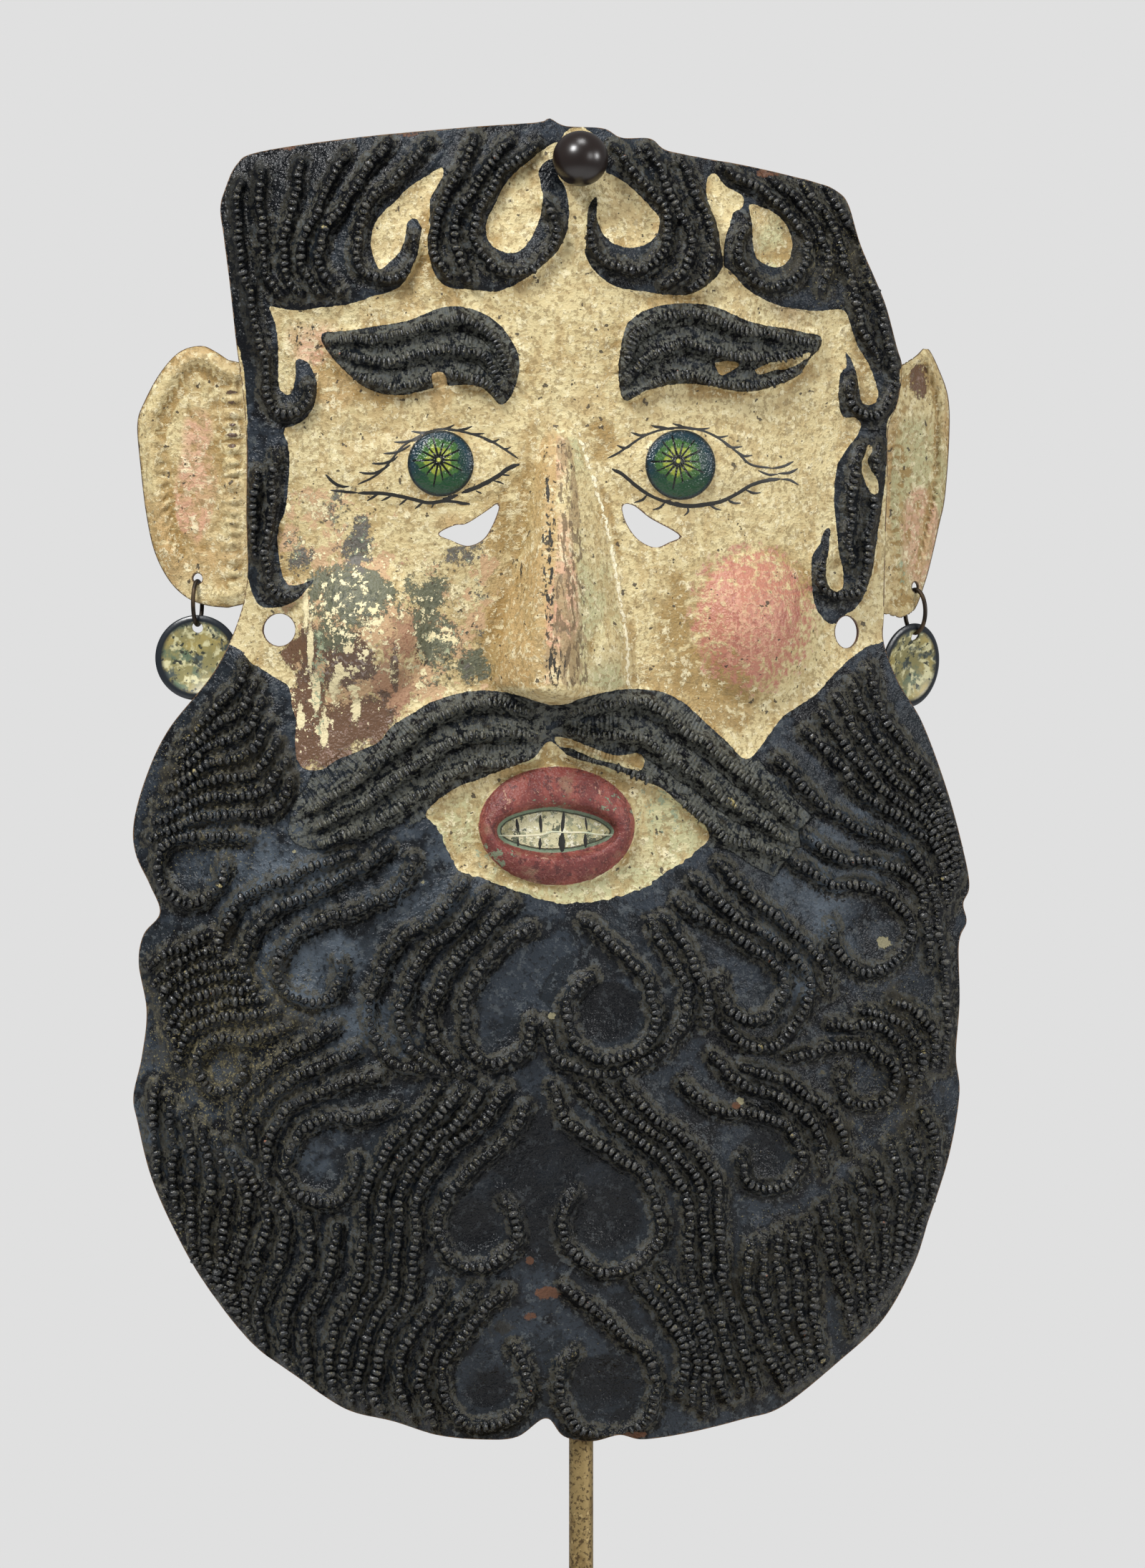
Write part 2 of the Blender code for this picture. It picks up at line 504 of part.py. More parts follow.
def mask_sheet(depth_shift, collection):
    locks, grooves = all_locks()
    tree = lock_tree_of(locks)
    strap_radius = STRAP_HOLE_DIAMETER / 2 / UNIT
    squash = 0.72                # the right hole is seen on a turned part of the sheet
    knob_radius = (SHANK_DIAMETER / 2 + SHANK_CLEARANCE) / UNIT
    holes = [
        spaced(closed_path(LEFT_SLIT, 14), 14), spaced(closed_path(RIGHT_SLIT, 14), 14),
        ring(LEFT_STRAP_HOLE, (strap_radius, strap_radius), 14),
        ring(RIGHT_STRAP_HOLE, (strap_radius * squash, strap_radius), 14),
        ring(KNOB_HOLE, (knob_radius, knob_radius), 12),
    ]
    net = Net(closed_path(OUTLINE, 33), holes)
    table = np.array(NOSE_SECTIONS, float)
    for column in range(1, 5):
        net.add_line(table[:, [column, 0]], 8, 9)
    for rows in (table[-1:, :],):
        across = np.linspace(rows[0][1] - 2, rows[0][4] + 2, 7)
        net.add_line([(x, rows[0][0] + NOSE_UNDERSIDE + 1) for x in across], 8, 6)
    (middle, radii), (teeth_middle, teeth_radii) = LIPS, TEETH
    net.add_line(ring(teeth_middle, (teeth_radii[0] + 2, teeth_radii[1] + 2), 16), 5, 6, closed=True)
    crest = [(a + r) / 2 for a, r in zip(radii, teeth_radii)]
    net.add_line(ring(middle, crest, 18), 5, 6, closed=True)
    net.add_line(ring(middle, radii, 20), 5, 6, closed=True)
    net.add_points([eye for _, eye, _ in CURLS], 9, 14)
    for middle, radius in IRISES:
        net.add_line(ring(middle, (radius, radius), 12), 5, 5, closed=True)
        net.add_line(ring(middle, (0.82 * radius, 0.82 * radius), 12), 5, 5, closed=True)
    for lock in locks:
        net.add_line(turned_points(lock, 44, math.radians(32)), 10, 10)
    for groove in grooves:
        line = turned_points(groove, 46, math.radians(34))
        away = np.array([tree.find((*point, 0))[2] for point in line])
        net.add_line(line[away > 9], 9, 9)
    side_step = 0.58 * LOCK_WIDTH / UNIT
    for lock in locks:
        line = turned_points(lock, 54, math.radians(40))
        for a, b in zip(line, line[1:]):
            along = (b - a) / np.linalg.norm(b - a)
            side = np.array([-along[1], along[0]])
            for sign in (1, -1):
                spot = (a + b) / 2 + sign * side_step * side
                if tree.find((*spot, 0))[2] > 0.85 * side_step:
                    net.add_points([spot], 9, 14)
    for middle, radii in CHEEKS:
        for share, count in ((1.0, 14), (0.66, 10), (0.33, 5)):
            net.add_points(ring(middle, (radii[0] * share, radii[1] * share), count), 10, 14)
        net.add_points([middle], 10, 14)
    for middle, radii in LIDS:
        net.add_points(ring(middle, radii, 12), 10, 14)
    spacing = 62
    rows = range(int((DRAWING_BOTTOM - DRAWING_TOP) / (0.87 * spacing)) + 1)
    grid = [(170 + spacing * (k + 0.5 * (r % 2)), DRAWING_TOP + 0.87 * spacing * r)
            for r in rows for k in range(24)]
    net.add_points(grid, 13, 30)
    points, faces = net.faces()
    depths = shell_depth(points[:, 0], points[:, 1]) + relief(points, tree) + depth_shift
    return sheet_object("mask_sheet", points, faces, depths, SHEET_THICKNESS, COPPER, collection)


def ear_depth(points, joint_x, side, slope):
    """An ear follows the sheet's back under its lap, and goes straight back outside it."""
    x, y = np.asarray(points, float).T
    joint = np.full(len(x), float(joint_x))
    within = np.where(side * (x - joint) < 0, x, joint)
    shell_slope = 1.0 / math.cos(math.atan(1.1))
    behind = SHEET_THICKNESS * shell_slope + EAR_LAP_CLEARANCE
    beyond = np.maximum(side * (x - joint), 0) * UNIT
    return shell_depth(within, y) - behind - slope * beyond


def ear(name, outline, joint_x, side, slope, hole, rim_inset, depth_shift, collection):
    """A sheet ear with a raised rim; side is -1 for the ear on the left and 1 on the right."""
    lap_x = joint_x - side * EAR_LAP / UNIT
    path = [p for p in outline if side * (p[0] - joint_x) > 0]
    order = path if side < 0 else path[::-1]
    edge = spaced(smooth_path(order, 8), 30)
    lap = [(lap_x, edge[-1][1] - 12), (lap_x, edge[0][1] + 12)]
    steps = np.linspace(0, 1, 9)[:, None]
    lap_edge = np.array(lap[0]) + steps * (np.array(lap[1]) - np.array(lap[0]))
    loop = np.concatenate([edge, lap_edge])
    hole_radius = EAR_HOLE_DIAMETER / 2 / UNIT
    squash = 1 / math.hypot(1, slope)
    net = Net(loop, [ring(hole, (hole_radius * squash, hole_radius), 12)])
    joint_line = [(joint_x, y) for y in np.linspace(edge[0][1] + 24, edge[-1][1] - 24, 11)]
    net.add_line(joint_line, 3, 6)
    along = np.gradient(edge, axis=0)
    inward = np.stack([-along[:, 1], along[:, 0]], axis=1) / np.linalg.norm(along, axis=1)[:, None]
    if np.sum((np.mean(edge, axis=0) - edge) * inward) < 0:
        inward = -inward
    for share in (1, 2):
        net.add_line(edge + inward * rim_inset * share, 0.6 * rim_inset, 0.6 * rim_inset)
    lo, hi = edge.min(axis=0), edge.max(axis=0)
    net.add_points([(x, y) for y in np.arange(lo[1], hi[1], 34) for x in np.arange(lo[0], hi[0], 34)], 8, 20)
    points, faces = net.faces()
    depths = ear_depth(points, joint_x, side, slope) + depth_shift
    away = edge_distance(points, loop)
    beyond = np.clip(side * (points[:, 0] - joint_x) / rim_inset, 0, 1)
    lobe = np.clip(np.linalg.norm(points - np.array(hole), axis=1) / (3 * hole_radius) - 1, 0, 1)
    depths = depths + EAR_RIM_HEIGHT * np.clip(1 - np.abs(away - rim_inset) / rim_inset, 0, 1) * beyond * lobe
    return sheet_object(name, points, faces, depths, EAR_THICKNESS, EAR_PAINT, collection)


def turned(name, profile, sides, finish, collection):
    """A round piece: a profile of (radius, height), run down its outer side, turned about the vertical."""
    mesh = bpy.data.meshes.new(name)
    mesh.from_pydata([(r, 0, h) for r, h in profile], [(k, k + 1) for k in range(len(profile) - 1)], [])
    piece = add_object(name, mesh, finish, collection)
    screw = piece.modifiers.new("turn", "SCREW")
    screw.steps = sides
    screw.render_steps = sides
    screw.use_merge_vertices = True
    screw.merge_threshold = 0.01 * MM
    screw.use_smooth_shade = True
    return piece


def wire(name, points, diameter, closed, resolution, finish, collection):
    curve = bpy.data.curves.new(name, "CURVE")
    curve.dimensions = "3D"
    curve.bevel_depth = diameter / 2
    curve.bevel_resolution = resolution
    curve.use_fill_caps = not closed
    line = curve.splines.new("POLY")
    line.points.add(len(points) - 1)
    for point, at in zip(line.points, points):
        point.co = (*at, 1)
    line.use_cyclic_u = closed
    return add_object(name, curve, finish, collection)


def earring(side_name, hole, hole_depth, hoop_turn, disc_turn, lean, collection):
    """A wire hoop through the lobe, and the dished disc that hangs on it."""
    across, top = place(*hole)
    # The hoop rests on the lower edge of the lobe's hole, and the disc hangs from the hoop's lowest point.
    reach = (HOOP_HEIGHT - HOOP_WIRE_DIAMETER) / 2
    slack = (EAR_HOLE_DIAMETER - HOOP_WIRE_DIAMETER) / 2 - TOUCH_GAP
    middle = Vector((across, -hole_depth, top - slack - reach))
    depth = (HOOP_DEPTH - HOOP_WIRE_DIAMETER) / 2
    forward = Vector((math.sin(hoop_turn), -math.cos(hoop_turn), 0))
    loop = []
    for k in range(16):
        angle = 2 * math.pi * k / 16
        loop.append(middle + forward * depth * math.cos(angle) + Vector((0, 0, reach * math.sin(angle))))
    wire(f"earring_hoop_{side_name}", loop, HOOP_WIRE_DIAMETER, True, 1, IRON_WIRE, collection)

    radius = DISC_DIAMETER / 2
    flat = radius - DISC_RIM_WIDTH
    hang = (DISC_HOLE_DIAMETER - HOOP_WIRE_DIAMETER) / 2 - TOUCH_GAP
    eye = (0.0, radius - DISC_HOLE_INSET)
    rim_steps = 24
    hole_steps = 10
    flat_points = ring((0, 0), (radius, radius), rim_steps)
    flat_points += ring(eye, (DISC_HOLE_DIAMETER / 2, DISC_HOLE_DIAMETER / 2), hole_steps)
    edges = [(k, (k + 1) % rim_steps) for k in range(rim_steps)]
    edges += [(rim_steps + k, rim_steps + (k + 1) % hole_steps) for k in range(hole_steps)]
    for share, count in ((1.0, 18), (0.62, 10), (0.3, 5)):
        circle = ring((0, 0), (share * flat, share * flat), count)
        flat_points += [p for p in circle if math.dist(p, eye) > 0.7 * DISC_HOLE_DIAMETER]
    flat_points.append((0.0, 0.0))
    points, _, faces, *_ = delaunay_2d_cdt([Vector(p) for p in flat_points], edges, [], 0, 1e-7)
    corners = []
    for point in points:
        share = min(point.length / flat, 1.0)
        corners.append((point.x, DISC_DISH * (1 - share * share), point.y))
    kept = []
    for face in faces:
        middle_x = sum(points[k].x for k in face) / 3
        middle_y = sum(points[k].y for k in face) / 3
        if math.dist((middle_x, middle_y), eye) > 0.48 * DISC_HOLE_DIAMETER:
            kept.append(list(face))
    name = f"earring_disc_{side_name}"
    disc = shell_object(name, corners, kept, DISC_THICKNESS, 0, DISC_PAINT, collection)
    arm = radius - DISC_HOLE_INSET
    hook = middle - Vector((0, 0, reach + hang))
    disc.location = hook + arm * Vector((-math.sin(lean), 0, -math.cos(lean)))
    disc.rotation_mode = "ZYX"
    disc.rotation_euler = (0, lean, disc_turn)


def knob(front_y, back_y, height, collection):
    """The ball on the mask's front, with the shank that goes back through the sheet to the rod."""
    radius = KNOB_DIAMETER / 2
    across, _ = place(*KNOB_HOLE)
    start = math.asin(SHANK_DIAMETER / KNOB_DIAMETER)
    steps = 8
    profile = [(0.0, radius)]
    for k in range(1, steps + 1):
        angle = k * (math.pi - start) / steps
        profile.append((radius * math.sin(angle), radius * math.cos(angle)))
    profile.append((SHANK_DIAMETER / 2, -(back_y - front_y)))
    profile.append((0.0, -(back_y - front_y)))
    ball = turned("knob", profile, 16, KNOB_WOOD, collection)
    ball.location = (across, front_y, height)
    ball.rotation_euler = (math.pi / 2, 0, 0)


def stand(shank_end, height, collection):
    """The bent rod and its round foot."""
    bend = ROD_BEND_RADIUS
    bottom = FOOT_THICKNESS + TOUCH_GAP
    points = [Vector((0, 0, bottom)), Vector((0, 0, (bottom + height - bend) / 2)), Vector((0, 0, height - bend))]
    for k in range(1, 7):
        angle = k * math.pi / 2 / 6
        points.append(Vector((0, -bend * (1 - math.cos(angle)), height - bend + bend * math.sin(angle))))
    points.append(Vector((0, shank_end, height)))
    wire("stand_rod", points, ROD_DIAMETER, False, 3, ROD_BRASS, collection)

    radius = FOOT_DIAMETER / 2
    edge = FOOT_EDGE_BEVEL
    profile = [(0, FOOT_THICKNESS), (radius - edge, FOOT_THICKNESS), (radius, FOOT_THICKNESS - edge), (radius, 0),
               (0, 0)]
    turned("stand_foot", profile, 40, ROD_BRASS, collection)


def main():
    for old in list(bpy.data.objects):
        bpy.data.objects.remove(old, do_unlink=True)
    collection = bpy.data.collections.new("bearded_man_mask")
    bpy.context.scene.collection.children.link(collection)

    # The mask hangs on the knob's shank and leans on the rod at the beard's lower edge.
    lean_on = float(shell_depth(np.array([DRAWING_ROD_X]), np.array([DRAWING_BOTTOM]))[0])
    rod_room = 2.2 * SHEET_THICKNESS + TOUCH_GAP + ROD_DIAMETER / 2
    depth_shift = rod_room - lean_on
    mask_sheet(depth_shift, collection)
    ear("ear_left", LEFT_EAR, LEFT_EAR_JOINT_X, -1, LEFT_EAR_SLOPE, LEFT_EAR_HOLE, EAR_RIM_INSET, depth_shift,
        collection)
    ear("ear_right", RIGHT_EAR, RIGHT_EAR_JOINT_X, 1, RIGHT_EAR_SLOPE, RIGHT_EAR_HOLE, RIGHT_EAR_RIM_INSET,
        depth_shift, collection)
    for name, hole, joint_x, side, slope, turn, lean in (
        ("left", LEFT_EAR_HOLE, LEFT_EAR_JOINT_X, -1, LEFT_EAR_SLOPE, LEFT_DISC_TURN, LEFT_DISC_LEAN),
        ("right", RIGHT_EAR_HOLE, RIGHT_EAR_JOINT_X, 1, RIGHT_EAR_SLOPE, RIGHT_DISC_TURN, RIGHT_DISC_LEAN),
    ):
        across_ear = math.hypot(1, slope)
        depth = float(ear_depth([hole], joint_x, side, slope)[0]) - across_ear * EAR_THICKNESS / 2 + depth_shift
        earring(name, hole, depth, side * math.atan(slope), turn, lean, collection)

    _, knob_height = place(*KNOB_HOLE)
    sheet_front = float(shell_depth(*np.array(KNOB_HOLE, float)[:, None])[0]) + depth_shift
    front_room = LOCK_BED_HEIGHT + TOUCH_GAP + KNOB_DIAMETER / 2
    shank_end = -(ROD_BEND_RADIUS + 1 * MM)
    knob(-(sheet_front + front_room), shank_end - TOUCH_GAP, knob_height, collection)
    stand(shank_end, knob_height, collection)


main()
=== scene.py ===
# A painted, hammered copper mask of a bearded man, on its rod stand, dressed over the CAD frame.
import math

import bpy
import numpy as np
from mathutils import Matrix, Vector
from mathutils.geometry import delaunay_2d_cdt


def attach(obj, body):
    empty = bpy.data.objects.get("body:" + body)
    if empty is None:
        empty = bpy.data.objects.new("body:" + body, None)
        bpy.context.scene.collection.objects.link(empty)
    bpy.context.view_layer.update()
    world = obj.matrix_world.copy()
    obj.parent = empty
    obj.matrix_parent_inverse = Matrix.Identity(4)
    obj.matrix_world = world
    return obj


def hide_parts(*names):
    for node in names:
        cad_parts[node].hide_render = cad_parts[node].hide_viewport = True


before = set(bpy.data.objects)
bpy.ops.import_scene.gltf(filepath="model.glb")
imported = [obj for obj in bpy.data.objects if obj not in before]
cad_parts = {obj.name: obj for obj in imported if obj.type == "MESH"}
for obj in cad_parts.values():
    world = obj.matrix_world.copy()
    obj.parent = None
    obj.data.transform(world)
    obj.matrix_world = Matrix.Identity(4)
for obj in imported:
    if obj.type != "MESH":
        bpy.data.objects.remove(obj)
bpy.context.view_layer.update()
mm = 0.001

# The sheet, and where its drawing lies. The drawing is as seen from the front, x to the right and y down.
sheet = {
    "height": 491.0 * mm, "thickness": 1.0 * mm, "sag": 52.0 * mm, "turn": 0.18,
    "crownLean": 14.0 * mm, "chinLean": 31.0 * mm, "strapHole": 12.0 * mm, "aboveFoot": 83.0 * mm,
    "knobHoleRoom": 1.0 * mm, "hammerDepth": 0.35 * mm, "roughDepth": 0.22 * mm,
}
drawing = {"top": 164, "bottom": 2017, "rodX": 812, "middleX": 778, "halfWidth": 566,
           "leanAbove": 450, "leanBelow": 1150, "gridAcross": (176, 1368), "gridDown": (156, 2026),
           "gridStep": 2.4}
unit = sheet["height"] / (drawing["bottom"] - drawing["top"])
stand = {
    "footDiameter": 200.0 * mm, "footThickness": 12.0 * mm, "footBevel": 1.5 * mm, "footEase": 0.4 * mm,
    "rodDiameter": 9.0 * mm, "rodBend": 14.0 * mm, "knobDiameter": 20.6 * mm, "shankDiameter": 5.0 * mm,
    "gap": 0.3 * mm,
}
touchGap = stand["gap"]

outline = [
    (307, 290), (314, 262), (330, 228), (361, 211), (493, 192), (657, 177), (752, 170), (767, 164),
    (790, 175), (843, 178), (868, 191), (909, 192), (931, 208), (986, 219), (1051, 230), (1139, 250),
    (1172, 263), (1188, 282), (1205, 339), (1238, 416), (1256, 480), (1264, 512), (1257, 560),
    (1244, 596), (1243, 660), (1240, 760), (1238, 854), (1238, 898), (1259, 953), (1292, 1008),
    (1325, 1095), (1347, 1172), (1360, 1237), (1351, 1264), (1356, 1290), (1345, 1320), (1346, 1402),
    (1341, 1478), (1346, 1533), (1331, 1621), (1303, 1708), (1281, 1774), (1237, 1851), (1172, 1911),
    (1095, 1971), (1040, 1988), (964, 2006), (898, 2015), (866, 2008), (827, 2017), (788, 2010),
    (763, 1984), (723, 2010), (679, 2014), (613, 2008), (548, 1988), (482, 1971), (416, 1927),
    (350, 1878), (285, 1796), (241, 1719), (208, 1643), (190, 1570), (184, 1533), (196, 1478),
    (203, 1413), (192, 1347), (199, 1306), (222, 1276), (208, 1237), (188, 1194), (185, 1150),
    (203, 1084), (235, 1018), (296, 942), (329, 876), (345, 810), (344, 720), (344, 613), (338, 540),
    (330, 482), (321, 400), (312, 330),
]
slits = {
    "left": [
        (613, 746), (636, 734), (652, 732), (682, 713), (695, 704), (697, 712), (687, 737), (674, 755),
        (653, 763), (630, 755)],
    "right": [
        (870, 706), (886, 706), (910, 724), (940, 740), (952, 750), (937, 757), (922, 764), (908, 763),
        (889, 751), (874, 728)],
}
strapHoles = {"left": (390, 880), "right": (1185, 882), "rightSquash": 0.72}
knobHole = (811, 222)

# Groups of locks: the first and the last lock of each, and how many there are.
lockFans = {
    "beard": [
        ([(341, 928), (322, 962), (290, 993), (252, 1035)],
         [(403, 1088), (372, 1131), (291, 1134), (206, 1166)], 7),
        ([(490, 1186), (408, 1218), (336, 1251), (308, 1297), (304, 1345)],
         [(542, 1179), (463, 1228), (388, 1264), (345, 1305), (341, 1350), (353, 1390)], 2),
        ([(643, 1231), (610, 1274), (558, 1306), (522, 1365), (516, 1424), (542, 1474), (587, 1491)],
         [(715, 1257), (666, 1303), (623, 1352), (602, 1404), (606, 1450), (632, 1482), (660, 1496)], 3),
        ([(291, 1303), (255, 1316), (222, 1333), (203, 1349)],
         [(385, 1409), (323, 1416), (264, 1432), (247, 1472), (250, 1498)], 7),
        ([(466, 1429), (414, 1460), (351, 1509), (330, 1554), (330, 1590)],
         [(528, 1495), (462, 1514), (407, 1540), (372, 1585), (372, 1637)], 3),
        ([(612, 1515), (570, 1564), (532, 1609), (508, 1665), (503, 1740), (496, 1790), (470, 1840),
          (456, 1900), (470, 1950)],
         [(705, 1519), (664, 1568), (615, 1609), (582, 1665), (577, 1740), (568, 1810), (534, 1866),
          (519, 1936), (530, 1975)], 4),
        ([(617, 1797), (580, 1852), (555, 1895), (559, 1945), (572, 1982)],
         [(660, 1797), (612, 1859), (586, 1915), (592, 1955), (606, 1994)], 2),
        ([(211, 1520), (212, 1606), (224, 1670), (243, 1735)],
         [(368, 1650), (397, 1710), (382, 1769), (358, 1832), (368, 1900)], 8),
        ([(430, 1700), (427, 1759), (396, 1828), (396, 1890), (414, 1930)],
         [(466, 1713), (457, 1776), (424, 1840), (427, 1915), (442, 1948)], 2),
        ([(312, 1790), (316, 1820), (330, 1850)], [(326, 1735), (300, 1780), (296, 1806)], 2),
        ([(1214, 935), (1245, 1012), (1292, 1066), (1328, 1135), (1346, 1215)],
         [(1131, 1019), (1171, 1062), (1212, 1110), (1265, 1143), (1313, 1187), (1328, 1268)], 5),
        ([(1090, 1062), (1134, 1106), (1181, 1143), (1245, 1170), (1290, 1204), (1314, 1290), (1326, 1400),
          (1322, 1495)],
         [(1131, 1167), (1181, 1197), (1245, 1204), (1282, 1231), (1297, 1285), (1302, 1350)], 2),
        ([(1006, 1207), (1067, 1265), (1114, 1302), (1150, 1345), (1161, 1385)],
         [(972, 1227), (1020, 1271), (1077, 1308), (1121, 1345), (1128, 1395), (1095, 1447), (1050, 1460),
          (1015, 1435)], 2),
        ([(930, 1280), (962, 1330), (985, 1385), (985, 1430)],
         [(908, 1290), (938, 1335), (958, 1385), (950, 1430), (900, 1480), (844, 1495), (785, 1480),
          (761, 1430)], 2),
        ([(1251, 1397), (1285, 1412), (1307, 1450), (1308, 1495)],
         [(1164, 1429), (1226, 1432), (1262, 1460), (1271, 1502), (1271, 1540)], 3),
        ([(1042, 1488), (1105, 1512), (1157, 1550), (1190, 1610)],
         [(997, 1477), (1039, 1512), (1098, 1536), (1139, 1575), (1157, 1640)], 2),
        ([(872, 1515), (914, 1557), (962, 1595), (997, 1644), (1004, 1703), (1007, 1770), (1020, 1820),
          (1040, 1885), (1058, 1945)],
         [(813, 1515), (855, 1561), (907, 1602), (948, 1647), (962, 1703), (962, 1770), (980, 1842),
          (997, 1901), (1014, 1960)], 3),
        ([(889, 1790), (935, 1845), (955, 1895), (950, 1950)],
         [(925, 1775), (955, 1814), (978, 1860), (985, 1930), (982, 1975)], 3),
        ([(1046, 1740), (1043, 1797), (1060, 1866), (1085, 1915), (1098, 1945)],
         [(1128, 1710), (1135, 1785), (1140, 1850), (1145, 1890), (1156, 1912)], 5),
        ([(1152, 1690), (1158, 1740), (1178, 1800), (1195, 1860), (1196, 1872)],
         [(1296, 1560), (1314, 1620), (1300, 1680), (1278, 1745), (1266, 1775)], 7),
    ],
    "hair": [
        ([(361, 240), (364, 320), (372, 380), (390, 414)],
         [(537, 197), (479, 279), (446, 334), (446, 372), (476, 406)], 4),
        ([(661, 192), (637, 242), (608, 300), (606, 345), (625, 388)],
         [(708, 195), (669, 245), (637, 300), (635, 345), (658, 392)], 2),
        ([(949, 214), (974, 269), (995, 333), (988, 375), (962, 400)],
         [(905, 205), (939, 272), (965, 335), (955, 372), (928, 393)], 2),
        ([(1125, 252), (1164, 311), (1189, 381), (1205, 445), (1228, 500)],
         [(1080, 243), (1135, 298), (1157, 360), (1150, 402)], 2),
        ([(1202, 623), (1192, 684), (1188, 735), (1192, 785)],
         [(1205, 615), (1199, 684), (1195, 735), (1195, 760)], 1),
        ([(358, 660), (350, 720), (356, 775)], [(358, 660), (350, 720), (356, 775)], 1),
    ],
    "brow": [
        ([(462, 474), (560, 463), (635, 442), (690, 470), (710, 525)],
         [(475, 510), (540, 536), (620, 522), (665, 525), (695, 552)], 3),
        ([(1143, 473), (1040, 455), (950, 432), (890, 460), (868, 510)],
         [(1130, 492), (1060, 535), (950, 520), (905, 535), (878, 552)], 3),
    ],
    "moustache": [
        ([(750, 990), (666, 977), (600, 1003), (519, 1065), (431, 1130)],
         [(744, 1055), (650, 1068), (571, 1114), (500, 1155), (445, 1172)], 3),
        ([(800, 990), (892, 975), (962, 1019), (1040, 1080), (1114, 1148)],
         [(800, 1052), (875, 1073), (949, 1116), (1020, 1167), (1100, 1190)], 3),
    ],
}
# Curls: a lock's path, the middle of the flat eye that it hooks round, and for how many degrees it does so.
lockCurls = {
    "beard": [
        ([(346, 1166), (300, 1164), (262, 1162)], (263, 1209), 270),
        ([(574, 1199), (550, 1240), (499, 1264), (437, 1284), (400, 1308), (385, 1345)], (430, 1350), 195),
        ([(738, 1290), (702, 1313), (665, 1352), (647, 1398), (647, 1434)], (693, 1434), 190),
        ([(403, 1427), (355, 1446), (300, 1448), (272, 1472)], (305, 1484), 205),
        ([(549, 1543), (514, 1554), (445, 1561), (410, 1584), (397, 1622)], (447, 1626), 190),
        ([(733, 1547), (695, 1595), (639, 1644), (614, 1690), (609, 1715)], (664, 1712), 215),
        ([(702, 1800), (646, 1859), (618, 1905), (615, 1932)], (676, 1930), 225),
        ([(1111, 1201), (1160, 1229), (1222, 1238), (1260, 1262)], (1218, 1298), -225),
        ([(949, 1258), (1003, 1291), (1057, 1322), (1086, 1350)], (1050, 1376), -225),
        ([(817, 1285), (860, 1318), (900, 1365), (914, 1405)], (852, 1414), -250),
        ([(1101, 1477), (1150, 1462), (1209, 1460), (1240, 1478)], (1214, 1506), -235),
        ([(955, 1515), (994, 1543), (1053, 1554), (1103, 1573), (1118, 1612)], (1077, 1618), -185),
        ([(771, 1519), (799, 1571), (855, 1606), (903, 1647), (921, 1696)], (853, 1705), -225),
        ([(792, 1797), (844, 1842), (900, 1891), (917, 1935)], (848, 1936), -225),
    ],
    "hair": [
        ([(332, 255), (329, 310), (340, 382), (356, 450), (368, 508), (373, 545)], (401, 548), 195),
        ([(598, 197), (553, 242), (508, 289), (496, 345)], (538, 346), 195),
        ([(744, 203), (701, 237), (669, 287), (661, 325)], (718, 320), 235),
        ([(858, 206), (891, 243), (925, 285), (933, 320)], (878, 318), -225),
        ([(1018, 232), (1080, 272), (1120, 315), (1128, 355)], (1080, 345), -215),
        ([(1157, 258), (1202, 330), (1225, 404), (1244, 474), (1252, 530), (1243, 560)], (1218, 542), -165),
        ([(1230, 622), (1222, 690), (1214, 767), (1209, 800)], (1178, 798), -230),
        ([(383, 637), (377, 700), (370, 770), (371, 800)], (402, 800), 130),
    ],
}
locks = {"width": 8.6 * mm, "height": 3.4 * mm, "bedHeight": 1.6 * mm, "grooveDepth": 1.0 * mm,
         "grooveWidth": 1.5 * mm, "crestShift": 1.5 * mm, "dish": 1.2 * mm, "dishRadius": 38}
# Shares of the locks' sizes for each style, and for where there is no lock.
styleNames = ["beard", "hair", "brow", "moustache"]
styleShares = {"width": (0.95, 0.8, 0.95, 1.1, 1.0), "rise": (1.25, 1.15, 1.15, 1.3, 1.0),
               "ribbing": (0, .15, .8, .8, 0), "greyCrest": (0, 0, .7, 1, 0)}

# The nose from root to tip: place down, left foot, the ridge's two sides, right foot, share of the height.
noseSections = [
    (596, 762, 772, 794, 806, 0.04), (660, 744, 763, 795, 829, 0.30), (740, 731, 757, 793, 852, 0.52),
    (820, 714, 752, 791, 866, 0.74), (890, 694, 749, 790, 878, 0.91), (952, 683, 747, 789, 880, 1.0),
]
noseSpan = {"top": 598, "bottom": 968, "grimeTop": 620, "grimeBottom": 972}
noseTip = {"down": 956, "sag": 26, "middleX": 784, "halfWidth": 104, "underside": 14}
face = {"noseHeight": 30.0 * mm, "wingHeight": 3.0 * mm, "cheekHeight": 12.0 * mm, "lipHeight": 5.8 * mm,
        "irisHeight": 3.2 * mm, "lidHeight": 2.2 * mm,
        "wings": [((714, 920), (34, 46)), ((856, 912), (30, 50))],
        "lips": ((778, 1154), (110, 84)), "teeth": ((777, 1161), (82, 33)),
        "irises": [((616, 648), 47), ((951, 649), 50)],
        "lids": [((591, 655), (135, 55)), ((963, 650), (118, 58))],
        "cheeks": [((502, 881), (104, 104)), ((1061, 878), (92, 112))]}

